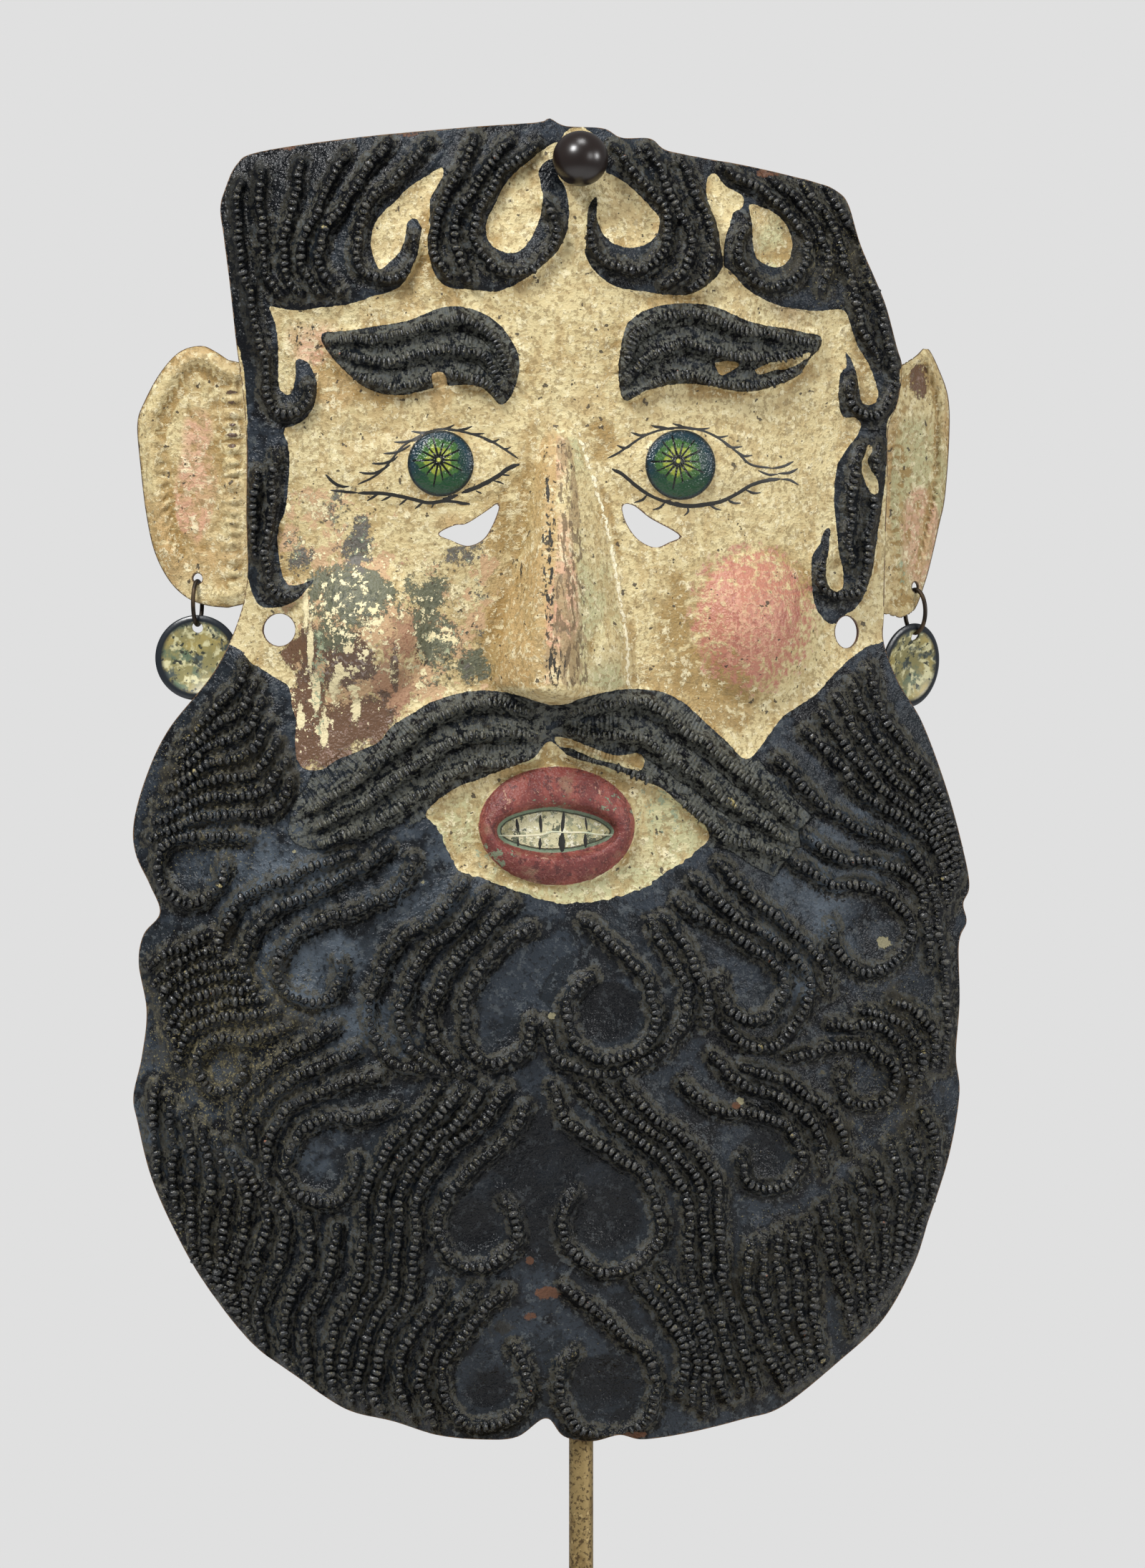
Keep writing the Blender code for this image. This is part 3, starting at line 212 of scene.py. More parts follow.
ears = {
    "left": {"outline": [(350, 508), (318, 502), (300, 490), (280, 482), (250, 490), (222, 520), (199, 562),
                         (190, 592), (195, 655), (203, 720), (215, 772), (236, 812), (262, 836), (290, 846),
                         (318, 849), (350, 845)],
             "jointX": 345, "side": -1, "slope": 0.36, "hole": (275, 808), "rimInset": 17,
             "crimp": (324, 10), "dented": True,
             "discTurn": math.radians(-8), "discLean": 0.0},
    "right": {"outline": [(1238, 862), (1262, 862), (1282, 850), (1297, 812), (1306, 780), (1318, 728),
                          (1326, 690), (1332, 610), (1331, 552), (1318, 512), (1300, 480), (1284, 492),
                          (1262, 506), (1238, 520)],
              "jointX": 1240, "side": 1, "slope": 1.28, "hole": (1283, 818), "rimInset": 9,
              "crimp": (1254, 8), "dented": False,
              "discTurn": math.radians(48), "discLean": math.radians(10)},
}
earring = {"earThickness": 1.0 * mm, "rimHeight": 3.0 * mm, "lap": 7.0 * mm, "lapClearance": 0.6 * mm,
           "earHole": 4.0 * mm, "wire": 1.6 * mm, "hoopDepth": 11.0 * mm, "hoopHeight": 17.8 * mm,
           "discDiameter": 31.2 * mm, "discThickness": 1.0 * mm, "discDish": 2.2 * mm, "discRim": 3.4 * mm,
           "discHole": 4.2 * mm, "discHoleInset": 4.4 * mm}
# The crimps beside an ear's joint: where they start and end, and where the dents between them end.
crimpRow = {"top": 530, "bottom": 830, "dentBottom": 640, "pitch": 17, "dentPitch": 15, "fade": 20}
# How far the ears lie behind the sheet's front, where it slopes by 1.1 at their joints.
earBehind = sheet["thickness"] / math.cos(math.atan(1.1)) + earring["lapClearance"]

# Where the paint lies. Each is a closed outline of the drawing; hair and beard are black, the rest cream.
blackAreas = {
    "hair": [
        (280, 140), (1300, 140), (1300, 470), (1262, 510), (1262, 540), (1256, 562), (1243, 578),
        (1228, 588), (1228, 560), (1226, 548), (1221, 545), (1223, 530), (1215, 508), (1200, 480),
        (1190, 450), (1180, 430), (1140, 432), (1105, 428), (1080, 422), (1048, 405), (1028, 385),
        (1014, 372), (1008, 375), (1003, 385), (985, 400), (965, 410), (940, 412), (900, 407), (868, 403),
        (848, 394), (828, 376), (817, 355), (811, 330), (808, 300), (806, 275), (812, 262), (796, 262),
        (795, 300), (792, 325), (780, 350), (760, 370), (738, 388), (712, 402), (690, 408), (650, 405),
        (625, 402), (608, 385), (600, 360), (597, 340), (601, 310), (592, 310), (588, 330), (585, 352),
        (575, 378), (562, 398), (545, 408), (520, 415), (500, 422), (480, 427), (450, 430), (415, 434),
        (390, 431), (376, 428), (383, 445), (388, 475), (389, 505), (389, 535), (394, 548), (403, 552),
        (410, 543), (412, 510), (416, 501), (426, 503), (436, 515), (443, 537), (441, 560), (430, 582),
        (412, 595), (396, 600), (402, 620), (405, 640), (404, 665), (402, 690), (398, 715), (390, 735),
        (388, 760), (391, 785), (396, 806), (404, 817), (418, 817), (440, 809), (428, 825), (414, 840),
        (398, 846), (380, 850), (366, 848), (356, 838), (348, 815), (344, 790), (338, 740), (338, 680),
        (344, 640), (344, 560), (330, 480), (290, 480)],
    "hookRight": [
        (1183, 487), (1192, 500), (1199, 520), (1203, 540), (1205, 556), (1214, 563), (1228, 558),
        (1240, 552), (1262, 545), (1262, 562), (1243, 585), (1242, 640), (1237, 690), (1230, 740),
        (1225, 775), (1221, 800), (1210, 830), (1197, 850), (1185, 856), (1175, 868), (1162, 871),
        (1150, 862), (1140, 845), (1136, 820), (1135, 790), (1137, 772), (1146, 760), (1152, 745),
        (1157, 735), (1162, 738), (1160, 762), (1156, 790), (1157, 810), (1165, 824), (1178, 822),
        (1180, 800), (1174, 770), (1170, 735), (1167, 700), (1169, 660), (1175, 640), (1190, 618),
        (1200, 605), (1205, 590), (1196, 580), (1183, 582), (1175, 570), (1173, 540), (1176, 520),
        (1185, 508), (1184, 497)],
    "browLeft": [
        (449, 466), (480, 463), (514, 458), (571, 448), (605, 434), (628, 428), (655, 431), (680, 441),
        (700, 456), (716, 478), (725, 498), (726, 520), (720, 540), (712, 558), (700, 567), (690, 558),
        (676, 544), (655, 539), (619, 541), (590, 547), (561, 553), (530, 550), (504, 538), (485, 522),
        (468, 504), (455, 488)],
    "browRight": [
        (864, 512), (870, 470), (878, 450), (900, 434), (930, 425), (953, 423), (985, 424), (1010, 431),
        (1045, 446), (1075, 453), (1098, 456), (1130, 463), (1150, 468), (1146, 486), (1134, 498),
        (1120, 520), (1100, 532), (1076, 540), (1050, 546), (1022, 545), (984, 537), (950, 536), (920, 541),
        (900, 547), (880, 559), (872, 560), (866, 545)],
    "beard": [
        (150, 1030), (235, 990), (300, 900), (318, 900), (336, 908), (350, 925), (368, 936), (390, 950),
        (404, 960), (408, 985), (414, 1010), (412, 1040), (420, 1070), (446, 1076), (470, 1062),
        (500, 1050), (530, 1036), (548, 1014), (575, 998), (600, 982), (636, 970), (663, 965), (700, 966),
        (735, 975), (765, 984), (790, 984), (815, 975), (850, 966), (890, 962), (930, 968), (960, 985),
        (985, 1008), (1015, 1035), (1040, 1060), (1057, 1051), (1078, 1022), (1095, 1000), (1118, 985),
        (1140, 970), (1161, 948), (1180, 928), (1205, 908), (1228, 898), (1290, 900), (1420, 1100),
        (1420, 2080), (120, 2080), (120, 1100)],
}
creamAreas = {
    "drop1": [
        (618, 234), (600, 244), (572, 262), (552, 282), (533, 300), (522, 318), (519, 345), (524, 365),
        (531, 377), (545, 366), (560, 350), (566, 332), (568, 314), (574, 306), (584, 306), (590, 320),
        (600, 306), (600, 284), (606, 268), (618, 248)],
    "drop2": [
        (780, 198), (760, 208), (738, 226), (716, 245), (702, 264), (692, 285), (682, 305), (679, 325),
        (686, 342), (698, 350), (718, 354), (732, 346), (745, 328), (755, 300), (758, 275), (755, 256),
        (752, 238), (762, 226), (776, 216)],
    "drop3": [
        (845, 240), (860, 246), (878, 258), (897, 276), (910, 290), (921, 303), (920, 322), (908, 338),
        (888, 345), (872, 345), (852, 336), (840, 322), (834, 302), (835, 280), (832, 262), (836, 246)],
    "drop4": [
        (1048, 284), (1066, 287), (1085, 296), (1100, 312), (1108, 336), (1104, 358), (1094, 369),
        (1078, 370), (1060, 360), (1053, 340), (1052, 312)],
    "wedge": [
        (1000, 240), (1012, 256), (1030, 266), (1040, 274), (1036, 290), (1026, 292), (1020, 312),
        (1012, 340), (1011, 375), (1008, 345), (1002, 310), (992, 285), (987, 262), (990, 245)],
    "knobSides": [
        (786, 190), (806, 176), (832, 190), (846, 232), (838, 262), (822, 292), (818, 345), (808, 392),
        (800, 345), (797, 300), (790, 262), (778, 238)],
    "upperHook": [
        (1192, 485), (1204, 487), (1218, 510), (1226, 532), (1229, 553), (1214, 560), (1206, 552),
        (1202, 525)],
    "sideFlake": [
        (1216, 618), (1222, 625), (1214, 640), (1219, 655), (1228, 665), (1230, 686), (1221, 688),
        (1210, 668), (1207, 645), (1213, 628)],
    "hookSlot": [
        (389, 435), (402, 436), (412, 470), (413, 505), (412, 530), (406, 550), (396, 546), (390, 520),
        (390, 480)],
    "lens": [
        (595, 1138), (610, 1120), (640, 1100), (672, 1088), (700, 1077), (728, 1067), (748, 1058),
        (757, 1045), (766, 1036), (776, 1040), (788, 1052), (806, 1061), (840, 1070), (870, 1080),
        (900, 1092), (925, 1102), (948, 1122), (968, 1140), (988, 1158), (990, 1172), (978, 1184),
        (962, 1198), (942, 1212), (920, 1226), (900, 1240), (870, 1250), (840, 1258), (800, 1262),
        (765, 1258), (735, 1248), (700, 1237), (672, 1226), (645, 1218), (632, 1200), (622, 1182),
        (618, 1165), (606, 1150)],
    "browPatch": [(604, 524), (616, 520), (624, 528), (623, 548), (612, 548), (605, 538)],
    "browStreak": [(1000, 506), (1024, 504), (1034, 508), (1024, 516), (1008, 524), (1004, 518)],
    "browStreak2": [
        (1056, 516), (1076, 506), (1104, 500), (1136, 490), (1110, 510), (1080, 516), (1062, 522)],
    "moustachePatch": [
        (776, 1030), (800, 1034), (830, 1046), (862, 1056), (892, 1052), (900, 1062), (896, 1076),
        (880, 1074), (856, 1066), (826, 1058), (800, 1046), (780, 1042)],
}
toothArea = [
    (694, 1158), (702, 1146), (718, 1137), (744, 1130), (770, 1127), (794, 1130), (818, 1135), (840, 1143),
    (856, 1155), (858, 1166), (846, 1176), (824, 1184), (800, 1190), (766, 1192), (740, 1189), (716, 1182),
    (698, 1172)]
# Soft regions of the finish: middle, half sizes, strength.
finishSpots = {
    "worn": [
        (500, 880, 120, 170, 1.0), (600, 880, 90, 120, .95), (440, 980, 60, 110, 1.0),
        (450, 750, 84, 90, .85), (650, 960, 60, 40, .7), (670, 830, 34, 90, .6)],
    "slate": [
        (470, 715, 34, 66, .8), (415, 765, 30, 50, .8), (500, 760, 30, 50, .9), (665, 830, 26, 90, .6),
        (640, 780, 40, 30, .6), (640, 950, 50, 40, .45), (770, 1190, 100, 30, .4)],
    "olive": [
        (490, 835, 74, 54, 1.15), (470, 885, 44, 40, .85), (612, 905, 46, 66, .95), (590, 838, 60, 46, .8),
        (655, 925, 40, 40, .7)],
    "salmon": [
        (570, 905, 46, 66, .95), (592, 862, 50, 34, .8), (545, 965, 40, 56, 1.0), (540, 800, 70, 26, .5),
        (484, 965, 40, 40, .6)],
    "core": [
        (485, 920, 50, 56, 1.05), (432, 940, 22, 110, 1.0), (520, 1000, 40, 46, .9), (552, 930, 8, 40, 1.0)],
    "pink": [
        (520, 920, 70, 80, .5), (785, 435, 80, 60, .6), (430, 470, 50, 40, .5), (272, 655, 32, 100, 1.1),
        (1080, 580, 90, 40, .6), (1100, 470, 50, 60, .4), (990, 480, 60, 40, .35), (1290, 760, 30, 80, .4)],
    # Painted shade: by the nose's root and feet, and beside and under the right cheek.
    "hollowShade": [
        (742, 614, 16, 30, .8), (838, 614, 22, 32, .7), (700, 740, 24, 60, .9), (866, 830, 10, 90, .5),
        (944, 890, 36, 90, .65), (1010, 1000, 90, 44, .75), (905, 930, 40, 44, .6), (968, 955, 80, 60, 1.0),
        (792, 610, 30, 40, .5)],
    # Painted shade: darker black in the beard's curl eyes and middle; darker patches also along the hair's
    # top.
    "deep": [
        (853, 1705, 46, 46, 1.0), (848, 1936, 46, 40, .7), (664, 1712, 40, 40, .8), (676, 1930, 40, 36, .6),
        (780, 1640, 130, 120, .55), (1000, 1560, 120, 120, .5), (852, 1414, 40, 40, .6),
        (400, 250, 220, 70, .8), (340, 400, 50, 140, .7), (900, 220, 260, 50, .6)],
    # Painted light: paler, rougher patches on the flats, mostly on the beard's left where it turns to the
    # light.
    "matte": [
        (430, 1350, 80, 70, .9), (370, 1220, 110, 70, .6), (560, 1230, 110, 70, .45),
        (520, 1400, 80, 90, .4), (305, 1484, 50, 50, .5), (447, 1626, 60, 60, .2), (1190, 1180, 90, 60, .4),
        (1130, 1310, 70, 100, .4), (280, 1150, 60, 40, .5), (290, 1500, 130, 160, .3)],
    "crack": [
        (767, 790, 14, 170, 1.0), (775, 930, 20, 50, 1.0), (430, 470, 40, 30, .8), (830, 340, 20, 60, .8),
        (1010, 620, 30, 20, .6), (725, 800, 12, 60, .8)],
    "coppery": [
        (450, 1035, 70, 60, 1.1), (500, 1010, 50, 46, 1.05), (415, 915, 22, 30, .8), (430, 985, 30, 40, .9),
        (1290, 525, 18, 30, 1.0)],
    # Tan paint; the spots beside the nose's left foot and under the right cheek are painted shade.
    "tan": [
        (715, 860, 40, 110, .8), (470, 525, 34, 50, .75), (720, 740, 26, 90, .55), (1190, 520, 30, 24, .6),
        (612, 540, 26, 40, .6), (1000, 990, 80, 60, .8), (330, 890, 40, 40, .5), (1180, 905, 60, 24, .55),
        (655, 725, 50, 22, .5), (830, 560, 50, 44, .5), (960, 930, 60, 70, .5), (1215, 880, 40, 30, .4)],
    # Green-grey paint; the spot between the nose and the right cheek is painted shade.
    "green": [
        (930, 1140, 70, 60, 1.0), (800, 1235, 160, 36, .9), (660, 1150, 60, 60, .9), (715, 310, 60, 70, .6),
        (860, 300, 60, 60, .6), (1080, 340, 40, 60, .6), (800, 1150, 180, 100, .6), (945, 870, 60, 110, .9),
        (1290, 700, 40, 160, .6)],
    "blush": [(1052, 862, 88, 104, 1.15)],
    "flakes": [
        (427, 850, 6, 44, 1.1), (434, 905, 6, 50, 1.1), (442, 965, 7, 50, 1.1), (453, 1015, 8, 36, 1.1),
        (470, 960, 12, 36, .9), (497, 985, 10, 40, .9), (420, 1000, 7, 24, .9), (640, 845, 26, 40, .8),
        (520, 868, 26, 12, .8), (436, 725, 50, 50, .75), (565, 935, 50, 30, .6)],
    "verdigris": [
        (925, 1130, 46, 44, .7), (690, 1195, 34, 26, .8), (850, 1122, 30, 20, .6), (775, 1120, 80, 12, .6),
        (446, 940, 12, 90, .9), (1262, 800, 10, 26, .9), (610, 900, 50, 70, .5)],
    "chips": [
        (765, 1808, 26, 11, 1.2), (740, 1840, 12, 9, 1.1), (740, 1762, 9, 7, 1.1), (885, 2008, 20, 7, 1.2),
        (400, 205, 26, 6, 1.0), (560, 187, 34, 6, 1.0), (1072, 240, 22, 7, 1.1), (1030, 1545, 8, 7, 1.0)],
    "scuffs": [
        (1034, 1540, 9, 7, 1.2), (770, 1420, 8, 7, 1.2), (412, 1190, 6, 6, 1.1), (1240, 1320, 16, 12, .9),
        (285, 1310, 12, 16, .9), (590, 1232, 5, 5, 1.1), (455, 1010, 8, 8, 1.0)],
    "dust": [
        (1150, 1800, 260, 260, .5), (290, 1120, 130, 170, .75), (640, 1050, 170, 90, .5),
        (420, 460, 90, 90, .2), (960, 370, 120, 90, .5), (1180, 350, 110, 130, .7),
        (1250, 1500, 140, 260, .6), (310, 1450, 160, 180, .95), (300, 1720, 140, 200, .6),
        (700, 350, 70, 90, .4), (1000, 1100, 120, 120, .4), (780, 1900, 200, 120, .3)],
}


# Places and paths on the drawing.
def placeAt(x, y):
    across = (x - drawing["rodX"]) * unit
    up = stand["footThickness"] + sheet["aboveFoot"] + (drawing["bottom"] - y) * unit
    return across, up


def drawnAt(across, up):
    # The other way round: the drawing's place of a point of the scene.
    x = across / unit + drawing["rodX"]
    y = drawing["bottom"] - (up - stand["footThickness"] - sheet["aboveFoot"]) / unit
    return x, y


def shellDepth(x, y):
    # How far forward the plain curved sheet lies, before anything is raised in it.
    across = (x - drawing["middleX"]) / drawing["halfWidth"]
    crown = np.clip((drawing["leanAbove"] - y) / (drawing["leanAbove"] - drawing["top"]), 0, 1.2)
    chin = np.clip((y - drawing["leanBelow"]) / (drawing["bottom"] - drawing["leanBelow"]), 0, 1.2)
    turned = sheet["turn"] * (x - drawing["middleX"]) * unit
    leaned = sheet["crownLean"] * crown ** 2 + sheet["chinLean"] * chin ** 2
    return -sheet["sag"] * across ** 2 - turned - leaned


def smoothPath(points, step):
    # Points about step apart on a Catmull-Rom curve through the given points.
    points = np.array(points, float)
    ends = np.array([2 * points[0] - points[1], *points, 2 * points[-1] - points[-2]])
    path = []
    for a, b, c, d in zip(ends, ends[1:], ends[2:], ends[3:]):
        count = max(2, math.ceil(np.linalg.norm(c - b) / step))
        for t in np.arange(count) / count:
            path.append(0.5 * (2 * b + (c - a) * t + (2 * a - 5 * b + 4 * c - d) * t ** 2
                               + (3 * b - a - 3 * c + d) * t ** 3))
    return np.array(path + [ends[-2]])


def spacedPath(path, step):
    lengths = np.concatenate([[0], np.cumsum(np.linalg.norm(np.diff(path, axis=0), axis=1))])
    count = max(2, round(lengths[-1] / step) + 1)
    at = np.linspace(0, lengths[-1], count)
    return np.stack([np.interp(at, lengths, path[:, 0]), np.interp(at, lengths, path[:, 1])], axis=1)


def pathSides(path):
    # A path's direction at each of its points, and the way to its side there.
    step = np.gradient(path, axis=0)
    step /= np.maximum(np.linalg.norm(step, axis=1, keepdims=True), 1e-6)
    return step, np.stack([-step[:, 1], step[:, 0]], axis=1)


def fromEnds(path):
    # How many points each point of a path lies from its nearer end.
    return np.minimum(np.arange(len(path)), np.arange(len(path))[::-1])


def sideDown(step):
    # How much that side of a path looks down, or to the left where the path runs upright.
    return step[..., 0] - 0.45 * step[..., 1]


def closedPath(points, step):
    around = smoothPath([points[-1], *points, points[0], points[1]], step)
    far = np.linalg.norm(around - np.array(points[0]), axis=1)
    half = len(around) // 2
    return spacedPath(around[np.argmin(far[:half]):half + np.argmin(far[half:]) + 1], step)[:-1]


def fanLocks(first, last, count):
    # The locks of a group, as shares of the way from its first lock to its last.
    paths = []
    for points in (first, last):
        path = smoothPath(points, 6)
        paths.append(spacedPath(path, np.linalg.norm(np.diff(path, axis=0), axis=1).sum() / 40))
    length = min(len(p) for p in paths)
    a, b = paths[0][:length], paths[1][:length]
    return [a + (b - a) * k / max(1, count - 1) for k in range(count)]


def curlLock(path, eye, sweep):
    start = smoothPath(path, 6)
    reach = start[-1] - eye
    radius = np.linalg.norm(reach)
    begin = math.atan2(-reach[1], reach[0])
    turns = np.radians(np.linspace(0, sweep, max(4, int(abs(sweep) / 8))))[1:]
    hook = [(eye[0] + radius * math.cos(begin + t), eye[1] - radius * math.sin(begin + t)) for t in turns]
    return np.concatenate([start, hook])


def ovalPath(middle, radii, count):
    turns = 2 * np.pi * np.arange(count) / count
    return np.stack([middle[0] + radii[0] * np.cos(turns), middle[1] + radii[1] * np.sin(turns)], axis=1)


# The grid that the sheet's front is raised on, and measures of it.
gridX = np.arange(*drawing["gridAcross"], drawing["gridStep"])
gridY = np.arange(*drawing["gridDown"], drawing["gridStep"])
meshX, meshY = np.meshgrid(gridX, gridY)


def windowOf(xs, ys, low, high, reach):
    # The rows and columns of a grid that lie within reach of a box.
    columns = slice(*np.searchsorted(xs, (low[0] - reach, high[0] + reach)))
    rows = slice(*np.searchsorted(ys, (low[1] - reach, high[1] + reach)))
    return rows, columns


def shapeField(points, xs, ys, reach=12.0):
    # How far each grid point lies from a closed outline, up to reach, and positive inside it.
    points = np.asarray(points, float)
    away = np.full((len(ys), len(xs)), float(reach))
    within = np.zeros(away.shape, bool)
    for a, b in zip(points, np.roll(points, -1, axis=0)):
        rows, columns = windowOf(xs, ys, np.minimum(a, b), np.maximum(a, b), reach)
        x, y = xs[columns][None, :], ys[rows][:, None]
        along = b - a
        share = np.clip(((x - a[0]) * along[0] + (y - a[1]) * along[1]) / max(along @ along, 1e-9), 0, 1)
        far = np.hypot(x - a[0] - share * along[0], y - a[1] - share * along[1])
        away[rows, columns] = np.minimum(away[rows, columns], far)
        if a[1] != b[1]:
            crossed = np.flatnonzero((a[1] > ys) != (b[1] > ys))
            crossX = a[0] + (ys[crossed] - a[1]) / (b[1] - a[1]) * (b[0] - a[0])
            within[crossed] ^= xs[None, :] < crossX[:, None]
    return np.where(within, away, -away)


def neighbours(field, reach, axis):
    # A grid field moved along one axis by each whole number of cells from -reach to reach.
    padded = np.pad(field, [(reach, reach) if k == axis else (0, 0) for k in (0, 1)], mode="edge")
    size = field.shape[axis]
    return (np.take(padded, range(k, k + size), axis=axis) for k in range(2 * reach + 1))


def blurred(field, cells):
    # A soft copy of a grid field.
    reach = int(3 * cells) + 1
    weights = np.exp(-0.5 * (np.arange(-reach, reach + 1) / cells) ** 2)
    weights /= weights.sum()
    for axis in (0, 1):
        field = sum(weight * moved for weight, moved in zip(weights, neighbours(field, reach, axis)))
    return field


def lowest(field, cells):
    # The least value within so many cells of each place.
    for axis in (0, 1):
        field = np.min(list(neighbours(field, cells, axis)), axis=0)
    return field


def randomField(shape, cells, seed):
    # Smooth random bumps about so many cells apart, from -1 to 1.
    bumps = blurred(np.random.default_rng(seed).standard_normal(shape), cells / 2.5)
    return np.clip(bumps / (2.2 * bumps.std()), -1, 1)


def gridValue(field, x, y):
    # A grid field's value at any places of the drawing.
    u = np.clip((np.asarray(x, float) - gridX[0]) / drawing["gridStep"], 0, len(gridX) - 1.001)
    v = np.clip((np.asarray(y, float) - gridY[0]) / drawing["gridStep"], 0, len(gridY) - 1.001)
    i, j = v.astype(int), u.astype(int)
    s, t = v - i, u - j
    return ((1 - s) * ((1 - t) * field[i, j] + t * field[i, j + 1])
            + s * ((1 - t) * field[i + 1, j] + t * field[i + 1, j + 1]))


def dome(x, y, middle, radii, power):
    return np.clip(1 - ((x - middle[0]) / radii[0]) ** 2 - ((y - middle[1]) / radii[1]) ** 2, 0, 1) ** power


# Every lock's crest, with its style.
lockPaths = []
for style, groups in lockFans.items():
    for first, last, count in groups:
        lockPaths += [(style, path) for path in fanLocks(first, last, count)]
for style, curls in lockCurls.items():
    lockPaths += [(style, curlLock(path, eye, sweep)) for path, eye, sweep in curls]


def wobbled(path, seed):
    # A hand-made path: it strays a little to either side.
    phases = np.random.default_rng(seed).uniform(0, 2 * np.pi, 3)
    run = np.concatenate([[0], np.cumsum(np.linalg.norm(np.diff(path, axis=0), axis=1))])
    stray = sum(size * np.sin(2 * np.pi * run / wave + phase)
                for size, wave, phase in zip((1.7, 1.1, .7), (95, 52, 31), phases))
    return path + pathSides(path)[1] * stray[:, None]


lockPaths = [(style, wobbled(path, seed)) for seed, (style, path) in enumerate(lockPaths)]


def lockFields(paths, reach):
    # For each grid point: how far the nearest lock is, how far to its lower side, how far past its end, how
    # much that side looks down, how far along it the point lies, and which lock it is.
    away = np.full(meshX.shape, float(reach))
    lateral, beyond, lower, along = (np.full(meshX.shape, v) for v in (float(reach), 0.0, 0.0, 0.0))
    which = np.full(meshX.shape, -1)
    for index, (_, path) in enumerate(paths):
        path = spacedPath(path, 4)
        run = 0.0
        for k, (a, b) in enumerate(zip(path, path[1:])):
            length = np.linalg.norm(b - a)
            step = (b - a) / length
            facing = sideDown(step)
            rows, columns = windowOf(gridX, gridY, np.minimum(a, b), np.maximum(a, b), reach)
            x, y = gridX[columns][None, :] - a[0], gridY[rows][:, None] - a[1]
            forward = x * step[0] + y * step[1]
            reached = np.clip(forward, 0, length)
            past = np.where((forward < 0) & (k == 0) | (forward > length) & (k == len(path) - 2),
                            np.abs(forward - reached), 0)
            far = np.hypot(x - reached * step[0], y - reached * step[1])
            cross = (step[0] * y - step[1] * x) * math.copysign(1, facing)
            closer = far < away[rows, columns]
            for field, value in ((away, far), (beyond, past), (along, run + reached),
                                 (lateral, np.where(past > 0, cross, np.sign(cross) * far)),
                                 (lower, abs(facing) * np.sign(cross)), (which, np.full(far.shape, index))):
                field[rows, columns][closer] = value[closer]
            run += length
    return away, lateral, beyond, lower, along, which


def noseField(x, y):
    table = np.array(noseSections, float).T
    left, ridgeLeft, ridgeRight, right, share = (np.interp(y, table[0], row) for row in table[1:])
    rise = np.clip((x - left) / (ridgeLeft - left), 0, 1)
    fall = np.clip((right - x) / (right - ridgeRight), 0, 1)
    root = np.clip((y - table[0][0] + 12) / 12, 0, 1)
    tip = noseTip["down"] + noseTip["sag"] * (1 - ((x - noseTip["middleX"]) / noseTip["halfWidth"]) ** 2)
    underside = np.clip((tip + 6 - y) / noseTip["underside"], 0, 1)
    return share * np.minimum(rise, fall) * root * underside


def lipField(x, y):
    (mx, my), (ma, mb) = face["lips"]
    (tx, ty), (ta, tb) = face["teeth"]
    outer = np.sqrt(((x - mx) / ma) ** 2 + ((y - my) / mb) ** 2)
    inner = np.sqrt(((x - tx) / ta) ** 2 + ((y - ty) / tb) ** 2)
    way = np.clip((1 - outer) / np.maximum(np.abs(1 - outer) + np.abs(inner - 1), 1e-6), 0, 1)
    return np.where((outer < 1) & (inner > 1), np.sin(np.pi * way) ** 0.5, 0.0)


lockAway, lockLateral, lockBeyond, lockSide, lockAlong, lockIndex = lockFields(lockPaths, 38)
lockAway = lockAway * unit
styleOf = np.array([styleNames.index(style) for style, _ in lockPaths] + [-1])[lockIndex]
print("locks measured:", len(lockPaths))

ragged = randomField(meshX.shape, 2.6, 11) * 1.4
blackField = np.full(meshX.shape, -12.0)
for points in blackAreas.values():
    blackField = np.maximum(blackField, shapeField(closedPath(points, 6), gridX, gridY))
for points in creamAreas.values():
    blackField = np.minimum(blackField, -shapeField(closedPath(points, 6), gridX, gridY))
blackField += ragged * np.where(meshY > 1150, 1.4, 0.4)

# Each lock is a narrow ridge with a low skirt. Its crest lies to its lower side, so that this one is steep.
halfLock = locks["width"] / 2
styleShare = {name: np.array(shares)[styleOf] for name, shares in styleShares.items()}
styleScale = styleShare["width"]
crestShift = styleScale * locks["crestShift"] * np.minimum(np.abs(lockSide), 1.1)
fromCrest = lockLateral * unit - crestShift
fromCrest = np.where(fromCrest < 0, -1, 1) * np.hypot(fromCrest, lockBeyond * unit)
ridgeWidth = styleScale * halfLock * np.where(fromCrest < 0, 0.74, 0.62)
skirtWidth = styleScale * halfLock * np.where(fromCrest < 0, 2.1, 0.85)
besideCrest = np.abs(fromCrest)
inBlack = blurred(np.clip(0.9 + blackField / 6, 0, 1), 2)
ridge = np.clip(1 - (fromCrest / ridgeWidth) ** 2, 0, 1) ** 0.8
skirt = np.clip(1 - besideCrest / skirtWidth, 0, 1)
lockShare = blurred((0.66 * ridge + 0.34 * skirt) * inBlack, 1)
pastEnd = np.exp(-(lockBeyond * unit / (1.2 * mm)) ** 2)
underRidge = pastEnd * np.clip(lockSide * 1.4, 0, 1)

leanOn = float(shellDepth(drawing["rodX"], drawing["bottom"]))
depthShift = 2.2 * sheet["thickness"] + touchGap + stand["rodDiameter"] / 2 - leanOn


